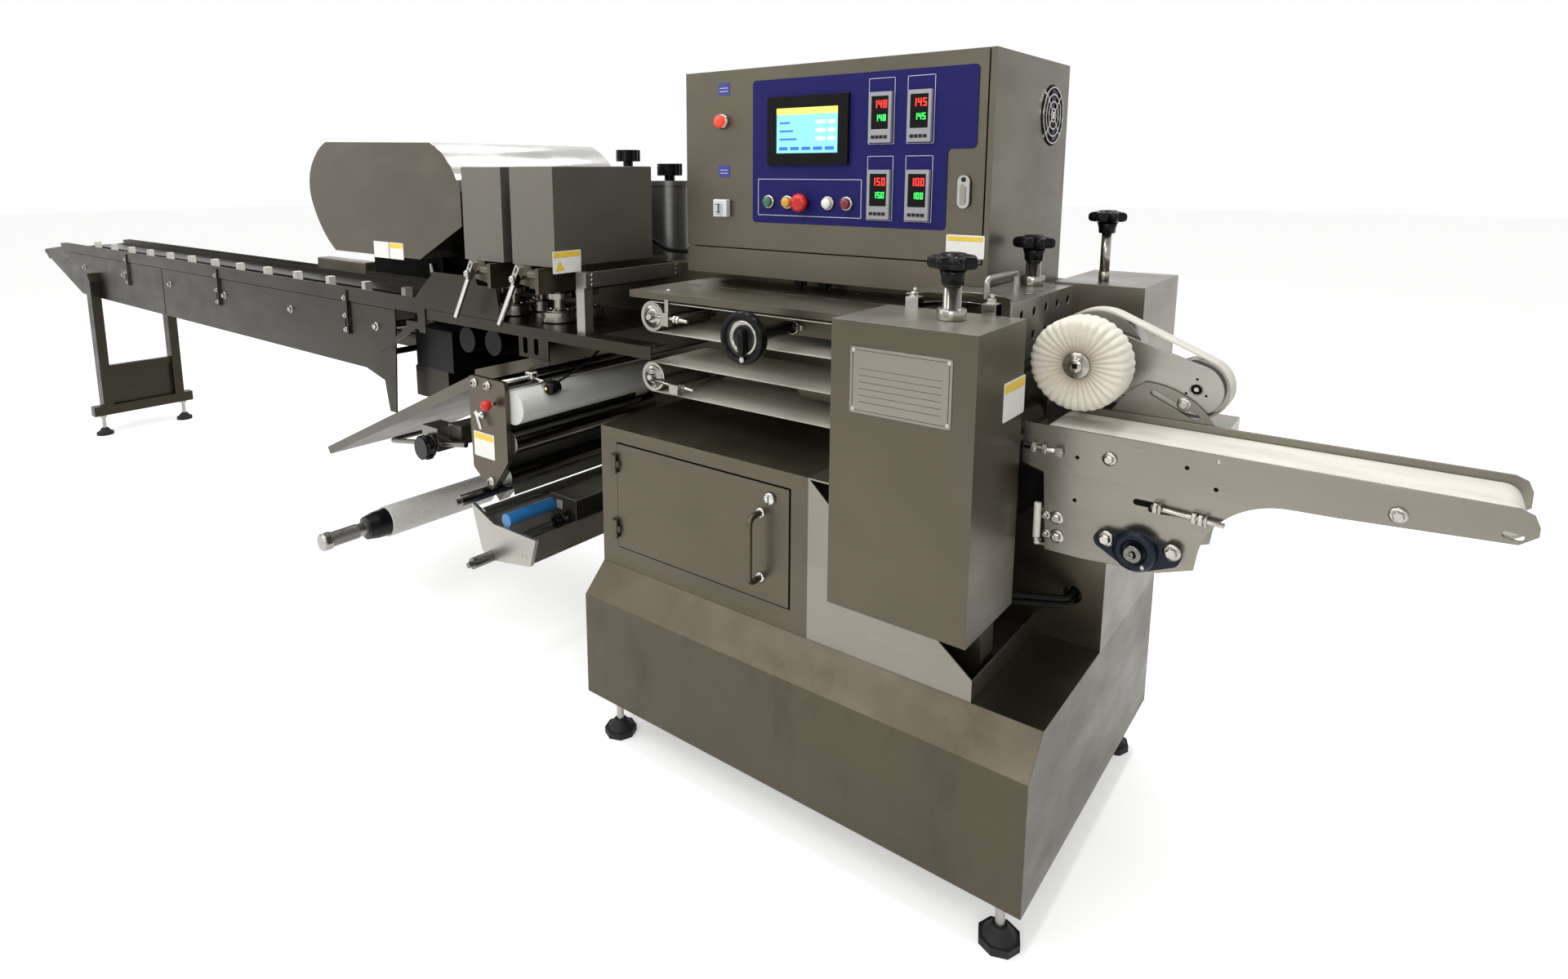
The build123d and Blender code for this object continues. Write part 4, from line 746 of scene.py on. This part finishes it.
# Screen picture, controller read-outs, buttons, lamp, switch, labels and latch of the cabinet's door
def make_panel():
    piece = Piece("panel_picture", "upper_door", "panel_blue")
    panel = 344
    door = 346
    front = panel - 6
    # Button field
    piece.line_frame(-778, -517, 1174, 1252, 0.6, panel - 0.5, panel, line_white)

    # Screen
    def patch(x0, x1, z0, z1, material):
        piece.box(x0, x1, front - 0.8, front - 0.4, z0, z1, material)

    left, right, low, high = -725, -571, 1307, 1401
    piece.box(left, right, front - 0.4, front, low, high, screen_cyan)
    patch(left, right, high - 14, high, screen_yellow)
    for step in range(5):
        x = left + 7 + step * 29
        patch(x, x + 22, low + 6, low + 13, screen_blue)
    for row in range(3):
        z = high - 33 - row * 17
        patch(left + 8, left + 34 + 9 * row, z, z + 4, screen_blue)
        patch(right - 54, right - 30, z - 1, z + 6, screen_pale)
        patch(right - 24, right - 6, z - 1, z + 6, screen_pale)
    # Controllers
    for column, x in enumerate((-500, -415)):
        for row, top in enumerate((1423, 1272)):
            text = READINGS[row][column]
            piece.box(x + 6, x + 44, front - 0.6, front, top - 72, top - 8, black_gloss)
            digits(piece, text, x + 11, top - 31, 15, front - 0.6, digit_red)
            digits(piece, text, x + 15, top - 56, 12, front - 0.6, digit_green)
            for key in range(4):
                side = x + 7 + key * 9.4
                piece.box(side, side + 7, panel - 9.4, panel - 8, top - 90, top - 84, black_satin)
            piece.line_frame(
                x - 3.5, x + 53.5, top - 100.5, top + 26.5, 0.5, panel - 0.5, panel, line_white, 0.5
            )
    # Buttons with their bezels, and the emergency stop
    row = 1203
    bezel = [(15.5, 0), (15.5, 4), (13, 6.8), (10.8, 6.8), (10.8, 4)]
    cap = [(10.7, 4), (10.7, 11.8), (9.5, 13), (0, 13.4)]
    mushroom = [(14.5, 17.8), (19.6, 18.5), (20, 21.5), (18.8, 26), (15.5, 29.5), (8, 31.2), (0, 31.5)]
    for x, material in ((-748, green_button), (-698, yellow_button), (-595, white_plastic), (-550, red_dark)):
        piece.lathe((x, panel, row), OUT, bezel, zinc, 28)
        piece.lathe((x, panel, row), OUT, cap, material, 28)
    piece.lathe((-656, panel, row), OUT, [(13.5, 0), (13.5, 18)], red_dark, 28)
    piece.lathe((-656, panel, row), OUT, mushroom, red_gloss, 36)
    # Lamp and main switch on the bare door
    lens = [(13.8, 9.5), (13.8, 17), (10.5, 21.2), (5, 22.5), (0, 22.7)]
    piece.lathe((-879, door, 1380), OUT, [(17.5, 0), (17.5, 4), (14.5, 10.5)], zinc, 28)
    piece.lathe((-879, door, 1380), OUT, lens, lamp_red, 28)
    piece.box(-898.5, -859.5, door - 15, door, 1166.5, 1205.5, white_plastic, 2)
    piece.box(-893, -871, door - 16, door - 14.6, 1172, 1200, grey_plastic, 0.5)
    piece.box(-886, -876, door - 24, door - 15, 1176, 1196, black_satin, 2)
    # Labels
    for z in (1437, 1256):
        piece.plate(span(-893, -861, z, z + 27, 3), door - 0.8, door, label_blue)
        for line in (z + 15, z + 8):
            piece.plate(span(-889, -865, line, line + 1.2, 0.5), door - 1.1, door - 0.8, line_white)
    piece.label(span(-329, -252, 1106, 1150, 3), door)
    piece.label(span(-326, -255, 1138.56, 1147, 1.5), door, True)
    # Latch with its sunk middle
    piece.plate(span(-307, -283, 1200, 1262, 11.9), door - 8.5, door - 4, chrome)
    piece.plate(span(-300, -290, 1206, 1246, 4.9), door - 12, door - 8.4, machined)
    piece.dome((-295, door - 8.5, 1254), OUT, 5, material=black_satin)
    made = piece.done()
    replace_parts(made, "push_buttons")


make_panel()


# Fan and the screws of its guard on the cabinet's side
def make_cabinet_trim():
    piece = Piece("cabinet_trim")
    side, y, z = -244, 646, 1383
    # Painted shade: a black disc for the shade inside the fan, behind its blades
    piece.lathe((side, y, z), RIGHT, [(62, 0), (62, 0.6), (60, 0.8), (0, 0.8)], dark, 48)
    for blade in range(5):
        angle = 2 * pi * blade / 5
        edges = ((14, 0), (56, -0.25), (57, 0.45), (16, 0.75))
        outline = [polar(y, z, radius, angle + turn) for radius, turn in edges]
        piece.plate(outline, side + 0.8, side + 1.4, black_satin, True)
    for dy in (-43, 43):
        for dz in (-43, 43):
            piece.dome((side, y + dy, z + dz), RIGHT, 4)
    piece.done()


make_cabinet_trim()


# Painted shade: thin black sheets for the space behind the perforated guard, and a black drive cover and
# sheet under the hood that stand in for the hood's shade; guides of the infeed's back rail
def make_shade_and_rail_guides():
    piece = Piece("painted_shade_and_rail_guides")
    # Painted shade: two thin black sheets behind the perforated guard
    piece.box(-131.2, -130.4, 176, 480, 962, 1050, dark)
    piece.box(-168, -134, 330, 480, 1051.2, 1051.8, dark)
    # Painted shade: a black box and a black sheet under the hood, in the hood's shade
    piece.box(-2566, -2145, 430, 640, 890, 1033, black_satin, 4)
    piece.box(-2145, -1560, 478, 483.5, 900, 1033, black_satin, 1)
    piece.rod((-2190, 424, 905), (-2190, 424, 967), 9, machined)
    piece.box(-2199, -2181, 414, 432, 905, 912, machined, 1)
    channel = [(414, 902), (414, 940), (417, 943), (462, 943), (465, 940)]
    channel += [(465, 902), (462, 902), (462, 938), (418, 938), (418, 902)]
    piece.plate(channel, -2950, -2600, steel_light, True)
    piece.done()


make_shade_and_rail_guides()


# Bolts, seams and nose plate of the infeed
def make_infeed_trim():
    piece = Piece("infeed_trim")
    front = 145
    for x in (-4743, -4208, -3673, -3143, -2614, -2070):
        piece.bolt((x, front, 807), OUT, 16, 8)
        piece.bolt((x, 415, 807), BACK, 16, 8)
    for x in (-4146, -3191, -2236):
        for z in (880, 825, 780):
            piece.bolt((x, 137, z), OUT, 10, 5)
    for x in (-3752, -3748):
        piece.box(x - 0.6, x + 0.6, front - 0.4, front, 672, 869, dark)
    piece.box(-4960, -1980, front - 0.6, front, 867, 868.6, dark)
    for x in (-5030, -5000, -4980):
        piece.dome((x, front, 845), OUT, 4)
    nose = [(-5374, 846), (-5366, 862), (-5250, 873), (-5250, 838), (-5330, 812)]
    piece.plate(nose, 149, 411, steel)
    piece.done()


make_infeed_trim()


# Outfeed fasteners, tension screw, bearing details and the press arm's hub
def make_outfeed_trim():
    piece = Piece("outfeed_trim")
    front = 195
    for x, z in ((34, 818), (402, 817)):
        piece.lathe((x, front, z), OUT, [(11, 0), (11, 2), (6, 2.5)], machined)
        piece.bolt((x, front - 2, z), OUT, 13, 7)
    for x, z in ((-43, 700), (-41, 668)):
        # Painted shade: a black slot behind each bolt
        piece.plate(span(x - 24, x + 6, z - 5, z + 5, 4.9), front - 0.5, front, dark)
        piece.bolt((x, front, z), OUT, 13.5, 8)
        piece.bolt((x - 18, front, z), OUT, 9, 6)
    # Painted shade: black discs for holes in the plate
    for x, z in ((145, 827), (186, 802), (-16, 810), (-16, 737)):
        piece.lathe((x, front, z), OUT, [(3.4, 0), (3, 0.3), (0, 0.3)], dark, 16)
    piece.dome((186, front, 845), OUT, 3.5, 0.3)
    # Tension screw between its two ears, beside its slot, drawn as painted shade in black
    piece.plate(span(73, 112, 752, 762, 4.9), front - 0.5, front, dark)
    start, end = Vector((101, 186, 757)), Vector((203, 186, 752))
    piece.rod(start, end, 4, zinc, 14)
    for x, z in ((104, 757), (158, 754), (167, 753)):
        piece.nut((x, 186, z), end - start, 8, 8.8, 7)
    for x, z in ((112, 757), (176, 753)):
        piece.box(x, x + 4, 179, front, z - 8, z + 8, machined, 0.6)
    # Horizontal screw between the housing and the plate
    piece.rod((-102, 190, 815), (-37, 190, 815), 4.2, zinc, 14)
    for x in (-89, -71):
        piece.nut((x, 190, 815), RIGHT, 8, 9, 7.5)
    piece.box(-50, -38, 184, front, 807, 823, machined, 1)
    # Painted shade: a black sheet for the gap behind the housing; and the white stop post
    piece.plate([(-123, 764), (-79, 756), (-77, 715), (-119, 674)], 229, 231, dark)
    piece.box(-90, -58, 228, 234, 690, 700, machined, 0.6)
    piece.rod((-77, 200, 655), (-77, 200, 717), 6, white_plastic, 18)
    piece.rod((-77, 200, 645), (-77, 200, 656), 8, machined, 18)
    piece.box(-84, -52, 196, 204, 645, 650, machined, 0.6)
    # Flange bearing: its bolts, seat and locking ring
    for x, z in ((39, 690), (136, 693)):
        piece.bolt((x, 183, z), OUT, 15.5, 9)
    seat = [(33, 0), (32.5, 5), (29, 9.5), (24, 10.5), (18, 10), (16.5, 4)]
    ring = [(13.8, -6), (13.8, 7.5), (12.5, 9), (4.5, 9), (4.5, 6), (0, 6)]
    piece.lathe((84, 180, 683), OUT, seat, navy_paint, 40)
    # Painted shade: a black ring in the gap round the locking ring
    piece.lathe((84, 177, 683), OUT, [(17.5, 0), (17.5, 1), (12, 1.2)], dark, 28)
    piece.lathe((84, 169, 683), OUT, ring, dark_chrome, 28)
    piece.lathe((96, 176, 664), (0.4, -1, -0.4), [(4, 0), (4, 6), (2.5, 9)], zinc, 12)
    # Press arm: tip hub and the bolt in the curved bracket's slot
    x, z, arm = 125, 919, 328
    piece.lathe((x, arm, z), OUT, [(10.5, 0), (10.5, 1), (9, 1.2), (8.5, 0.4)], machined, 28)
    # Painted shade: black discs for the hub's bore and its three holes
    piece.lathe((x, arm, z), OUT, [(8.5, 0), (8.5, 0.8), (0, 0.8)], dark)
    piece.lathe((x, arm - 0.6, z), OUT, [(4, 0), (4, 0.8), (0, 1)], zinc, 6)
    for hole_x, hole_z in around(x, z, 17, 3, 90):
        piece.lathe((hole_x, arm, hole_z), OUT, [(2.2, 0), (2, 0.3), (0, 0.3)], dark, 12)
    piece.bolt((110, 321, 893), OUT, 13, 7)
    piece.done()


make_outfeed_trim()


# Star knobs: collar and stem in bright steel, a black neck and a seven-lobed head
def make_star_knob(name, body, node_name, x, y, seat, stem, collar, stem_radius, size):
    piece = Piece(name, body, "black_plastic")
    foot = [(collar - 1, 0), (collar, 1), (collar, 16.5), (collar - 1.5, 18)]
    piece.lathe((x, y, seat), UP, foot + [(stem_radius, 18.2), (stem_radius, stem + 2)], machined, 36)
    neck = 26 * size
    flare = [(16 * size, 0), (17.8 * size, 1.5), (18.6 * size, neck / 2), (22.8 * size, neck + 1)]
    piece.lathe((x, y, seat + stem), UP, flare, black_gloss, 32)
    top = seat + stem + neck
    radius = 42 * size
    height = 22 * size
    lobes = 7
    corners = lobes * 14
    rings = []
    # Share of the radius, share of the height, and how deep the lobes are cut at that level
    levels = [(0.4, 0, 0), (0.8, 0.02, 0.75), (0.92, 0.1, 0.95), (0.985, 0.26, 1), (1, 0.5, 1)]
    levels += [(0.985, 0.72, 1), (0.93, 0.88, 0.95), (0.83, 0.98, 0.8), (0.66, 1.04, 0.35)]
    levels += [(0.5, 1.08, 0), (0.47, 1.15, 0), (0.3, 1.2, 0)]
    for share, level, lobed in levels:
        ring = []
        for step in range(corners):
            angle = 2 * pi * step / corners
            bump = (0.5 + 0.5 * cos(lobes * angle)) ** 0.8
            reach = radius * share * (1 - 0.24 * lobed * (1 - bump))
            ring.append(piece.corner(*polar(x, y, reach, angle), top + height * level))
        rings.append(ring)
    piece.shell(rings, black_gloss)
    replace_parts(piece.done(), node_name)


make_star_knob("front_star_knob", "knob_front", "jaw_knob_front", -196, 90, 1033.3, 56, 24, 15, 1.0)
make_star_knob("rear_star_knob", "knob_rear", "jaw_knob_rear", -192, 440, 1054.3, 46, 22, 14, 0.95)
make_star_knob("height_star_knob", "knob_height", "height_knob", -95, 560, 1058.3, 92, 10, 9, 0.85)


# Dished handwheel with its hub and the fold-away grip
def make_handwheel():
    piece = Piece("dished_handwheel", "hand_wheel", "black_plastic")
    x, z = -612, 955
    start = (x, 60, z)
    rim = [(40.5, 11), (41.5, 8.2), (44.5, 6.4), (48, 6.6), (50.8, 8.8), (52, 12.5), (52, 21.5)]
    rim += [(50.5, 26.5), (47, 29.8), (43.5, 28.5), (41, 25), (40.2, 18)]
    inner = [(23.8, 14.5), (34.5, 12.5), (34.5, 20.5), (23.8, 20.5)]
    outer = [(34, 12.5), (41.2, 9.8), (41.2, 24), (34, 20.5)]
    hub = [(0, 20), (26, 20.5), (26, 30), (23.5, 34), (19.5, 36.5), (18.5, 66)]
    hub += [(16.5, 70), (15, 70.5), (14.5, 160), (13.2, 162.5)]
    piece.lathe(start, BACK, rim, black_gloss, 56, ends="joined")
    piece.lathe(start, BACK, [(0, 13.5), (22, 13.5), (24, 14.5), (24, 22)], black_gloss, 40)
    piece.lathe(start, BACK, inner, machined, 48, ends="joined")
    piece.lathe(start, BACK, outer, black_gloss, 48, ends="joined")
    piece.lathe(start, BACK, hub, black_gloss, 40)
    piece.rod((x, 222, z), (x, 231.5, z), 10, machined, 24)
    # Fold-away grip laid down in the dish, with its bright pin on the rim
    grip = [(4.5, 0), (8, 2), (9.8, 8), (10.5, 18), (9.2, 34), (7.5, 46), (5, 49.5)]
    piece.lathe((x + 1, 67.5, z + 17), (0.05, 0, -1), grip, black_gloss, 28)
    piece.lathe((x + 4, 67.5, z - 41), OUT, [(5.8, 0), (5.8, 2.2), (4.5, 3.5), (0, 3.6)], zinc)
    # Painted shade: a black slot in the grip's pin
    piece.box(x + 1.5, x + 6.5, 64.2, 64.5, z - 41.5, z - 40.5, dark)
    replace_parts(piece.done(), "handwheel")


# Belt rollers' end discs, tension screws with their blocks, screws of the cover plate
def make_belt_trim():
    piece = Piece("belt_trim")
    disc = [(26.5, 0), (26.5, 1.5), (24.5, 2.8), (17.5, 3), (16.5, 4.5), (11.5, 5)]
    for z in (947, 809):
        for x in (-955, -400):
            piece.lathe((x, 186, z), OUT, disc, machined, 40)
            piece.bolt((x, 176, z), OUT, 15, 6, False)
    for start, end, (x0, x1, z0, z1) in (
        (Vector((-961, 178, 952)), Vector((-844, 178, 947)), (-918, -895, 931, 961)),
        (Vector((-953, 178, 803)), Vector((-828, 178, 796)), (-895, -869, 780, 803)),
    ):
        piece.rod(start, end, 4.2, zinc, 14)
        for share in (0.66, 0.74):
            piece.nut(start.lerp(end, share), end - start, 7.8, 8.6, 7)
        piece.box(x0, x1, 170, 184, z0, z1, machined, 1.2)
        x, z = (x0 + x1) / 2, (z0 + z1) / 2
        piece.rod((x, 184, z), (x, 484, z), 6, machined, 16)
    piece.box(-912, -901, 178, 183, 958, 990, machined, 0.6)
    # Round boss of the upper belt's bracket, beside the handwheel's stem
    boss = [(10.5, 0), (15.5, 0), (15.5, 5), (14.5, 6), (10.5, 6)]
    piece.lathe((-603, 232, 955), OUT, boss, machined, 36, ends="joined")
    piece.bolt((-589, 232, 955), OUT, 9, 9)
    for x, y in ((-944, 227), (-941, 415), (-578, 448)):
        piece.dome((x, y, 1003), UP, 6, 0.5)
        piece.lathe((x, y, 1003), UP, [(8.5, 0), (8.5, 0.8), (6, 1)], zinc, 20)
    piece.done()


make_handwheel()
make_belt_trim()


# Fin sealer: discs, lever pivots and springs
def make_fin_trim():
    piece = Piece("fin_trim")
    screw = [(4.2, 0), (4.2, 3), (3.5, 3.6), (0, 3.6)]
    for x in (-1515, -1330):
        for y in (232.5, 327.5):
            piece.lathe((x, y, 917), UP, [(34, 0), (34, 3), (30, 4.5), (14.5, 5)], machined, 40)
            for screw_x, screw_y in around(x, y, 24, 4, 20):
                piece.lathe((screw_x, screw_y, 921), UP, screw, zinc, 6)
    for x in (-1490, -1308):
        piece.lathe((x, 72, 1016), OUT, [(8.5, 0), (8.5, 2), (6, 4.5), (0, 4.5)], zinc)
        piece.spring((x + 50, 88, 1030), (x + 84, 88, 1030), 8.5, 1.3, 7, white_plastic)
        piece.dome((x + 13, 171, 1038), OUT, 5, 0.6)
        piece.dome((x + 70, 170, 985), OUT, 3.8, 0.6)
        piece.dome((x + 36, 170, 1000), OUT, 3.8, 0.6)
    piece.done()


# Bare labels of the hood and of the fin sealer's guard
def make_labels():
    piece = Piece("bare_labels")
    hood = 100
    guard = -1182
    for x0, x1 in ((-1970, -1892), (-1888, -1818)):
        piece.label(span(x0, x1, 1027, 1073, 2), hood)
    piece.label(span(-1886, -1820, 1058, 1071, 1), hood, True)
    piece.label(span(93, 179, 1034, 1086, 3), guard, sideways=True)
    piece.label(span(96, 176, 1071, 1084, 1.5), guard, True, True)
    piece.label([(100, 1040), (128, 1040), (114, 1064)], guard, True, True)
    piece.done()


make_fin_trim()
make_labels()


# Film unwind: plate fittings, film sensor with its lead, knob lobes, web and tray sheets
def make_film_trim():
    piece = Piece("film_trim")
    cap = [(12.5, 0), (12.5, 2), (9, 2.5), (9, 6), (7, 8), (0, 8)]
    for x, z in ((-1376, 766), (-1324, 766), (-1326, 528)):
        piece.lathe((x, 0, z), OUT, cap, machined, 28)
        # Painted shade: a black hexagon for each cap's socket
        piece.lathe((x, -7.6, z), OUT, [(4, 0), (4, 0.6), (0, 0.6)], dark, 6)
    # Red ball on its stem, and the toggle below it
    ball = [(13.5 * sin(a), 13.5 - 13.5 * cos(a)) for a in (0.3, 0.7, 1.1, 1.57, 2.0, 2.4, 2.8)]
    piece.lathe((-1300, 0, 726), OUT, [(4.5, 0), (4.5, 12)], chrome, 16)
    piece.lathe((-1300, -9, 726), OUT, ball + [(0, 27)], red_gloss, 28)
    piece.lathe((-1350, 0, 690), OUT, [(10, 0), (10, 4), (7, 6), (7, 12)], chrome)
    piece.flat_bar((-1350, -13, 690), (-1334, -15, 662), 10, 4, chrome)
    piece.flat_bar((-1358, -13, 700), (-1345, -14, 688), 8, 4, white_plastic)
    piece.label(span(-1386, -1306, 584, 646, 3), 0)
    piece.label(span(-1383, -1309, 628, 643, 1), 0, True)
    # Upper tie rod with its clamp and the film sensor
    piece.rod((-1292, 12, 774), (-1292, 484, 774), 7, chrome)
    piece.box(-1304, -1280, 96, 116, 762, 786, white_plastic, 3)
    piece.rod((-1292, 106, 774), (-1212, 106, 762), 5, chrome, 16)
    sensor = [(6, 0), (12, 2), (16, 8), (17, 20), (15, 34), (8, 40), (0, 41)]
    piece.lathe((-1212, 86, 758), BACK, sensor, black_gloss, 28)
    piece.box(-1240, -1206, 92, 120, 750, 774, black_gloss, 5)
    piece.lathe((-1214, 86.6, 759), OUT, [(3.5, 0), (3.5, 1.4), (0, 2)], screen_yellow, 16)
    lead = ((-1208, 118, 770), (-1200, 140, 782), (-1192, 170, 796))
    lead += ((-1190, 205, 812), (-1192, 240, 832), (-1194, 262, 858))
    piece.tube(lead, 3, black_rubber)
    piece.box(-1202, -1186, 256, 270, 852, 889, black_satin, 1)
    # Lobes of the guide bar's clamping knob
    lobe = [(9, 0), (11.5, 3), (11.5, 17), (9, 20.5), (0, 21)]
    for x, z in around(-1654, 540, 25, 6, 12):
        piece.lathe((x, 40, z), OUT, lobe, black_gloss, 20)
    # Box plates and black knob in the lower tray
    piece.box(-1250, -1247, 196, 300, 352, 437, box_sheet, 0.5)
    piece.box(-1344, -1247, 196, 199, 354, 437, box_sheet, 0.5)
    piece.label(span(-1322, -1300, 402, 424, 1), 196)
    piece.lathe((-1294, 196, 376), OUT, [(6, 0), (6, 16)], chrome, 16)
    lobe = [(7, 0), (8.5, 2), (8.5, 14), (6.5, 16), (0, 16.3)]
    for x, z in around(-1294, 376, 13, 5, 20):
        piece.lathe((x, 184, z), OUT, lobe, black_gloss, 18)
    piece.lathe((-1294, 184, 376), OUT, [(13, 0), (13, 17), (9, 19), (0, 19.2)], black_gloss)
    # Film web between the rollers
    web = [(-1288, 706), (-1290, 634), (-1307, 548), (-1281, 521), (-1277, 496)]
    for (x0, z0), (x1, z1) in zip(web, web[1:]):
        strip = [(x0 - 0.3, z0), (x0 + 0.3, z0), (x1 + 0.3, z1), (x1 - 0.3, z1)]
        piece.plate(strip, 30, 460, film_dark)
    # Bottom and side sheets of the lower tray, in a pale grey that paints light into the tray's shade
    for (x0, z0), (x1, z1) in (((-1349, 334), (-1193, 354)), ((-1388, 424), (-1357, 338))):
        piece.plate([(x0, z0), (x1, z1), (x1, z1 + 1), (x0, z0 + 1)], 10, 480, tray_sheet_painted_light)
    # Tips of the two guide sleeves
    for x, z in ((-1355, 492), (-1340, 332)):
        piece.nut((x, -30, z), OUT, 7.5, 9.5, 8)
    # Three screws at each end of the bridge bar, and two on the tray's corner
    for y in (168, 462):
        for z in (1007, 1018, 1029):
            piece.dome((-1133, y, z), RIGHT, 4.2, 0.5)
    for x, z in ((-1222, 366), (-1206, 368)):
        piece.dome((x, 0, z), OUT, 4.5, 0.5)
    piece.done()


# Threaded end and eight-sided nut of the unwind shaft
def make_shaft_thread():
    piece = Piece("shaft_thread", "unwind_shaft", "chrome")
    shaft = (-1967, 0, 235)
    thread = []
    for turn in range(16):
        y = -92 + turn * 5
        thread += [(20.1, y), (21.8, y + 1.4), (21.8, y + 2.4), (20.1, y + 3.8)]
    flats = [(26.2, -116), (27.2, -114), (27.2, -98), (26.2, -96)]
    piece.lathe(shaft, BACK, thread, dark_chrome, 40)
    piece.lathe(shaft, BACK, flats, machined, 8)
    piece.done()


make_film_trim()
make_shaft_thread()


# Pleated brush: broad soft folds that grow towards a scalloped rim, clamped by a hub with a nut
def make_brush():
    piece = Piece("pleated_brush", "brush", "white_plastic")
    pleats = 34
    slices = 10
    corners = pleats * slices
    inside, rim = CLOTH_RADII[0], CLOTH_RADII[-1]
    scallop = 66
    half_width = 26
    random.seed(4)
    lean = [random.uniform(-0.6, 0.6) for _ in range(pleats)]
    grow = [random.uniform(0.35, 1.25) for _ in range(pleats)]

    def fold(pleat):
        """Height of a soft fold: rounded crest, softer valley."""
        return 2 * abs(sin(pi * pleat)) ** 1.1 - 1

    def corner(reach, angle, y):
        x, z = polar(BRUSH_X, BRUSH_Z, reach, angle)
        return piece.corner(x, y, z)

    def cloth_corner(side, radius, step):
        """A point of the front cloth, side -1, or of the back cloth, side 1."""
        pleat = step / slices
        index = int(pleat) % pleats
        share = (radius - inside) / (rim - inside)
        crest = fold(pleat)
        within = sin(pi * (pleat - int(pleat)))
        angle = 2 * pi * step / corners + 0.03 * lean[index] * share * within
        edge = max(0.0, (radius - scallop) / (rim - scallop))
        reach = radius - 1.2 * edge * (0.5 - 0.5 * crest) * grow[index]
        depth = 0.4 + 1.7 * share**0.6 * grow[index]
        swell = 7.5 * sin(pi * min(1, share) * 0.8)
        taper = 12 * max(0.0, (share - 0.86) / 0.14) ** 2
        return corner(reach, angle, BRUSH_Y + side * (half_width + swell + depth * crest - taper))

    rings = [[cloth_corner(-1, radius, step) for step in range(corners)] for radius in CLOTH_RADII]
    back = [
        [cloth_corner(1, radius, step) for step in range(corners)] for radius in reversed(CLOTH_RADII)
    ]
    middle = []
    for step in range(corners):
        reach = rim - (0.5 - 0.5 * fold(step / slices))
        middle.append(corner(reach, 2 * pi * step / corners, BRUSH_Y))
    piece.shell(rings + [middle] + back, brush_cloth, ends="open")
    hub = [(22.5, 0), (22.5, 7), (21, 9), (11.5, 9.2), (11.5, 14.2), (10.5, 15.2), (0, 15.2)]
    piece.lathe((BRUSH_X, 232, BRUSH_Z), OUT, hub, machined, 32)
    # Painted shade: a black slot across the hub
    piece.box(-40, -32, 215.6, 217.6, 951, 959, dark)
    piece.rod((BRUSH_X, 276, BRUSH_Z), (BRUSH_X, 339, BRUSH_Z), 10, machined, 24)
    made = piece.done()
    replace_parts(made, "brush_wheel")


make_brush()
